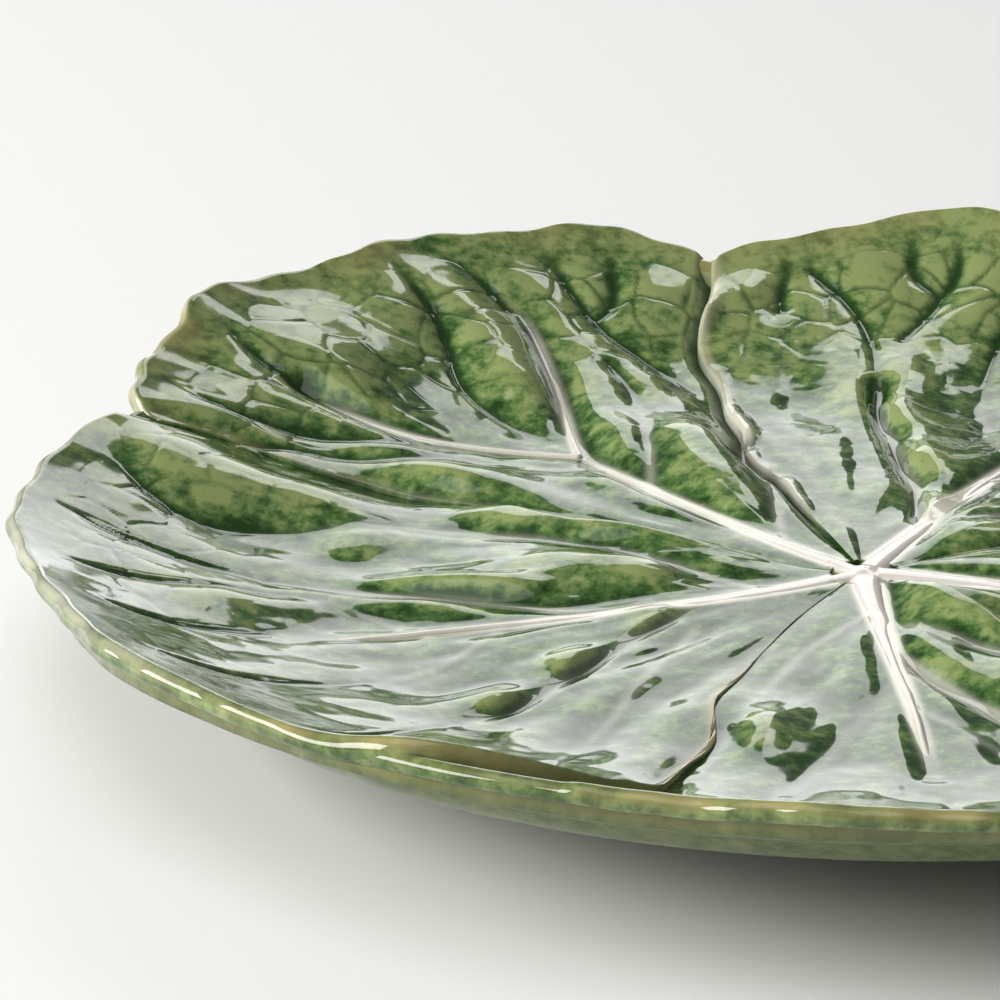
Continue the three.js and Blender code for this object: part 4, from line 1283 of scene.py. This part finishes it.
class PLATE_OT_leaf_lobes(Operator):
    """Build the five puffed and veined leaf lobes"""

    bl_idname = "plate.leaf_lobes"
    bl_label = "Leaf lobes"

    def execute(self, context):
        leaf, ribs = context.scene.plate_leaf, context.scene.plate_ribs
        material = glaze_material("Leaf glaze", leaf.thin_colour, leaf.glaze_colour, leaf.deep_glaze_and_shade_colour,
                                  leaf.pale_colour, leaf.edge_colour, 1.7, 0.12)
        for index, lobe in enumerate(LOBES):
            points, bottom, masks = lobe_surface(index, leaf, ribs)
            vertices, faces = closed_sheet(points, bottom)
            layers = [masks[key] + np.zeros(points.shape[:2]) for key in ("hollow", "bare", "edge", "dark")]
            layers = np.stack(layers, axis=-1).reshape(-1, 4)
            piece = new_piece(f"leaf_lobe_{lobe['name']}_glazed", vertices, faces, layers)
            dress(piece, f"leaf_lobe_{lobe['name']}", material)
        return {"FINISHED"}


class PLATE_OT_midribs(Operator):
    """Build the five forked midribs and the hub that they spring from"""

    bl_idname = "plate.midribs"
    bl_label = "Midribs and hub"

    def execute(self, context):
        ribs, leaf = context.scene.plate_ribs, context.scene.plate_leaf
        material = glaze_material("Rib glaze", leaf.thin_colour, ribs.foot_colour, leaf.glaze_colour,
                                  ribs.crest_colour, ribs.foot_colour, 0.35, 0.08)
        for index, lobe in enumerate(LOBES):
            vertices, faces, masks = rib_piece(index, ribs)
            piece = new_piece(f"midrib_{lobe['name']}_glazed", vertices, faces, masks)
            dress(piece, f"midrib_{lobe['name']}", material)
        vertices, faces, masks = hub_surface(ribs)
        piece = new_piece("rib_hub_glazed", vertices, faces, masks)
        dress(piece, "rib_hub", material)
        return {"FINISHED"}


class PLATE_OT_under_dish(Operator):
    """Build the smooth glazed under-dish"""

    bl_idname = "plate.under_dish"
    bl_label = "Under-dish"

    def execute(self, context):
        under, leaf = context.scene.plate_under, context.scene.plate_leaf
        material = glaze_material("Under glaze", under.thin_colour, under.glaze_colour, leaf.deep_glaze_and_shade_colour,
                                  under.thin_colour, leaf.edge_colour, 0.7, 0.15)
        vertices, faces, masks = dish_surface()
        piece = new_piece("under_dish_glazed", vertices, faces, masks)
        dress(piece, "under_dish", material)
        return {"FINISHED"}


class PLATE_OT_foot_ring(Operator):
    """Build the foot ring with its bare clay sole"""

    bl_idname = "plate.foot_ring"
    bl_label = "Foot ring"

    def execute(self, context):
        under = context.scene.plate_under
        material = clay_material(under.clay_colour, under.glaze_colour)
        vertices, faces = foot_surface()
        piece = new_piece("foot_ring_clay", vertices, faces)
        dress(piece, "foot_ring", material)
        return {"FINISHED"}


def add_panel(scene, name, place, aim, wide, tall, strength):
    """A flat light of a given brightness at a place, turned to face a point."""
    panel = bpy.data.lights.new(name, "AREA")
    panel.shape = "RECTANGLE"
    panel.size, panel.size_y = wide, tall
    panel.energy = strength * math.pi * wide * tall
    lamp = bpy.data.objects.new(name, panel)
    lamp.location = place
    lamp.rotation_euler = (Vector(aim) - Vector(place)).to_track_quat("-Z", "Y").to_euler()
    scene.collection.objects.link(lamp)


def lay_floor(scene, stage):
    """A level sheet of paper just under the foot."""
    reach = np.linspace(-FLOOR_REACH, FLOOR_REACH, FLOOR_POINTS)
    across, along = np.meshgrid(reach, reach)
    points = np.stack([across, along, np.full(across.shape, -FLOOR_DROP)], axis=-1).reshape(-1, 3)
    mesh = bpy.data.meshes.new("floor")
    mesh.from_pydata(points.tolist(), [], grid_quads(FLOOR_POINTS, FLOOR_POINTS)[:, ::-1].tolist())
    floor = bpy.data.objects.new("floor", mesh)
    scene.collection.objects.link(floor)
    material, tree = new_material("Floor paper")
    coords = add_node(tree, "ShaderNodeTexCoord").outputs["Object"]
    tint = colour4(stage.floor_colour)
    dim = (tint[0] * 0.985, tint[1] * 0.985, tint[2] * 0.985, 1.0)
    mixed = mix_colours(tree, noise(tree, coords, 500.0, 2.0), tint, dim)
    set_surface(tree, {"Base Color": mixed, "Roughness": 0.9, "Specular IOR Level": 0.1})
    mesh.materials.append(material)


def light_room(scene, stage):
    """An even white room, and the light panels."""
    world = bpy.data.worlds.new("Room")
    world.use_nodes = True
    tree = world.node_tree
    tree.nodes.clear()
    white = (1.0, 1.0, 1.0, 1.0)
    sky = add_node(tree, "ShaderNodeBackground", {"Color": white, "Strength": stage.sky_strength})
    add_node(tree, "ShaderNodeOutputWorld", {"Surface": sky.outputs[0]})
    scene.world = world
    for name, place, aim, wide, tall in LIGHT_PANELS:
        add_panel(scene, f"{name}_panel", place, aim, wide, tall, getattr(stage, f"{name}_strength"))


def place_camera(scene, stage):
    """The camera in front of the hub, turned and tipped as for the photo."""
    pan, tilt = math.radians(CAMERA_PAN), math.radians(CAMERA_TILT)
    forward = Vector((-math.sin(pan) * math.cos(tilt), math.cos(pan) * math.cos(tilt), -math.sin(tilt)))
    data = bpy.data.cameras.new("camera")
    data.lens = stage.lens
    data.sensor_width = SENSOR_WIDTH
    camera = bpy.data.objects.new("camera", data)
    hub_top = HUB_BOX[1][2]
    camera.location = (HUB_CENTRE[0] * MM, HUB_CENTRE[1] * MM - CAMERA_BACK, hub_top + CAMERA_UP)
    camera.rotation_euler = forward.to_track_quat("-Z", "Y").to_euler()
    scene.collection.objects.link(camera)
    scene.camera = camera


class PLATE_OT_stage(Operator):
    """Lay the floor, hang the light and place the camera"""

    bl_idname = "plate.stage"
    bl_label = "Stage"

    def execute(self, context):
        scene, stage = context.scene, context.scene.plate_stage
        scene.view_settings.view_transform = "Standard"
        lay_floor(scene, stage)
        light_room(scene, stage)
        place_camera(scene, stage)
        return {"FINISHED"}


class PLATE_PT_panel(Panel):
    """Lists the plate's settings and the steps that build it"""

    bl_label = "Cabbage plate"
    bl_idname = "PLATE_PT_panel"
    bl_space_type = "VIEW_3D"
    bl_region_type = "UI"
    bl_category = "Plate"

    def draw(self, context):
        for group in (context.scene.plate_leaf, context.scene.plate_ribs, context.scene.plate_under,
                      context.scene.plate_stage):
            box = self.layout.box()
            for key in group.__annotations__:
                box.prop(group, key)
        for step in STEPS:
            self.layout.operator(step.bl_idname)


SETTINGS = {
    "plate_leaf": LeafSettings,
    "plate_ribs": RibSettings,
    "plate_under": UnderSettings,
    "plate_stage": StageSettings,
}
STEPS = (PLATE_OT_leaf_lobes, PLATE_OT_midribs, PLATE_OT_under_dish, PLATE_OT_foot_ring, PLATE_OT_stage)


def register():
    """Registers the settings, the steps and the panel."""
    for kind in (*SETTINGS.values(), *STEPS, PLATE_PT_panel):
        bpy.utils.register_class(kind)
    for name, kind in SETTINGS.items():
        setattr(bpy.types.Scene, name, PointerProperty(type=kind))


def unregister():
    """Takes away what register added."""
    for name in SETTINGS:
        delattr(bpy.types.Scene, name)
    for kind in (PLATE_PT_panel, *STEPS, *SETTINGS.values()):
        bpy.utils.unregister_class(kind)


def main():
    """Builds the plate and its stage."""
    register()
    bpy.ops.plate.leaf_lobes()
    bpy.ops.plate.midribs()
    bpy.ops.plate.under_dish()
    bpy.ops.plate.foot_ring()
    bpy.ops.plate.stage()


if __name__ == "__main__":
    main()
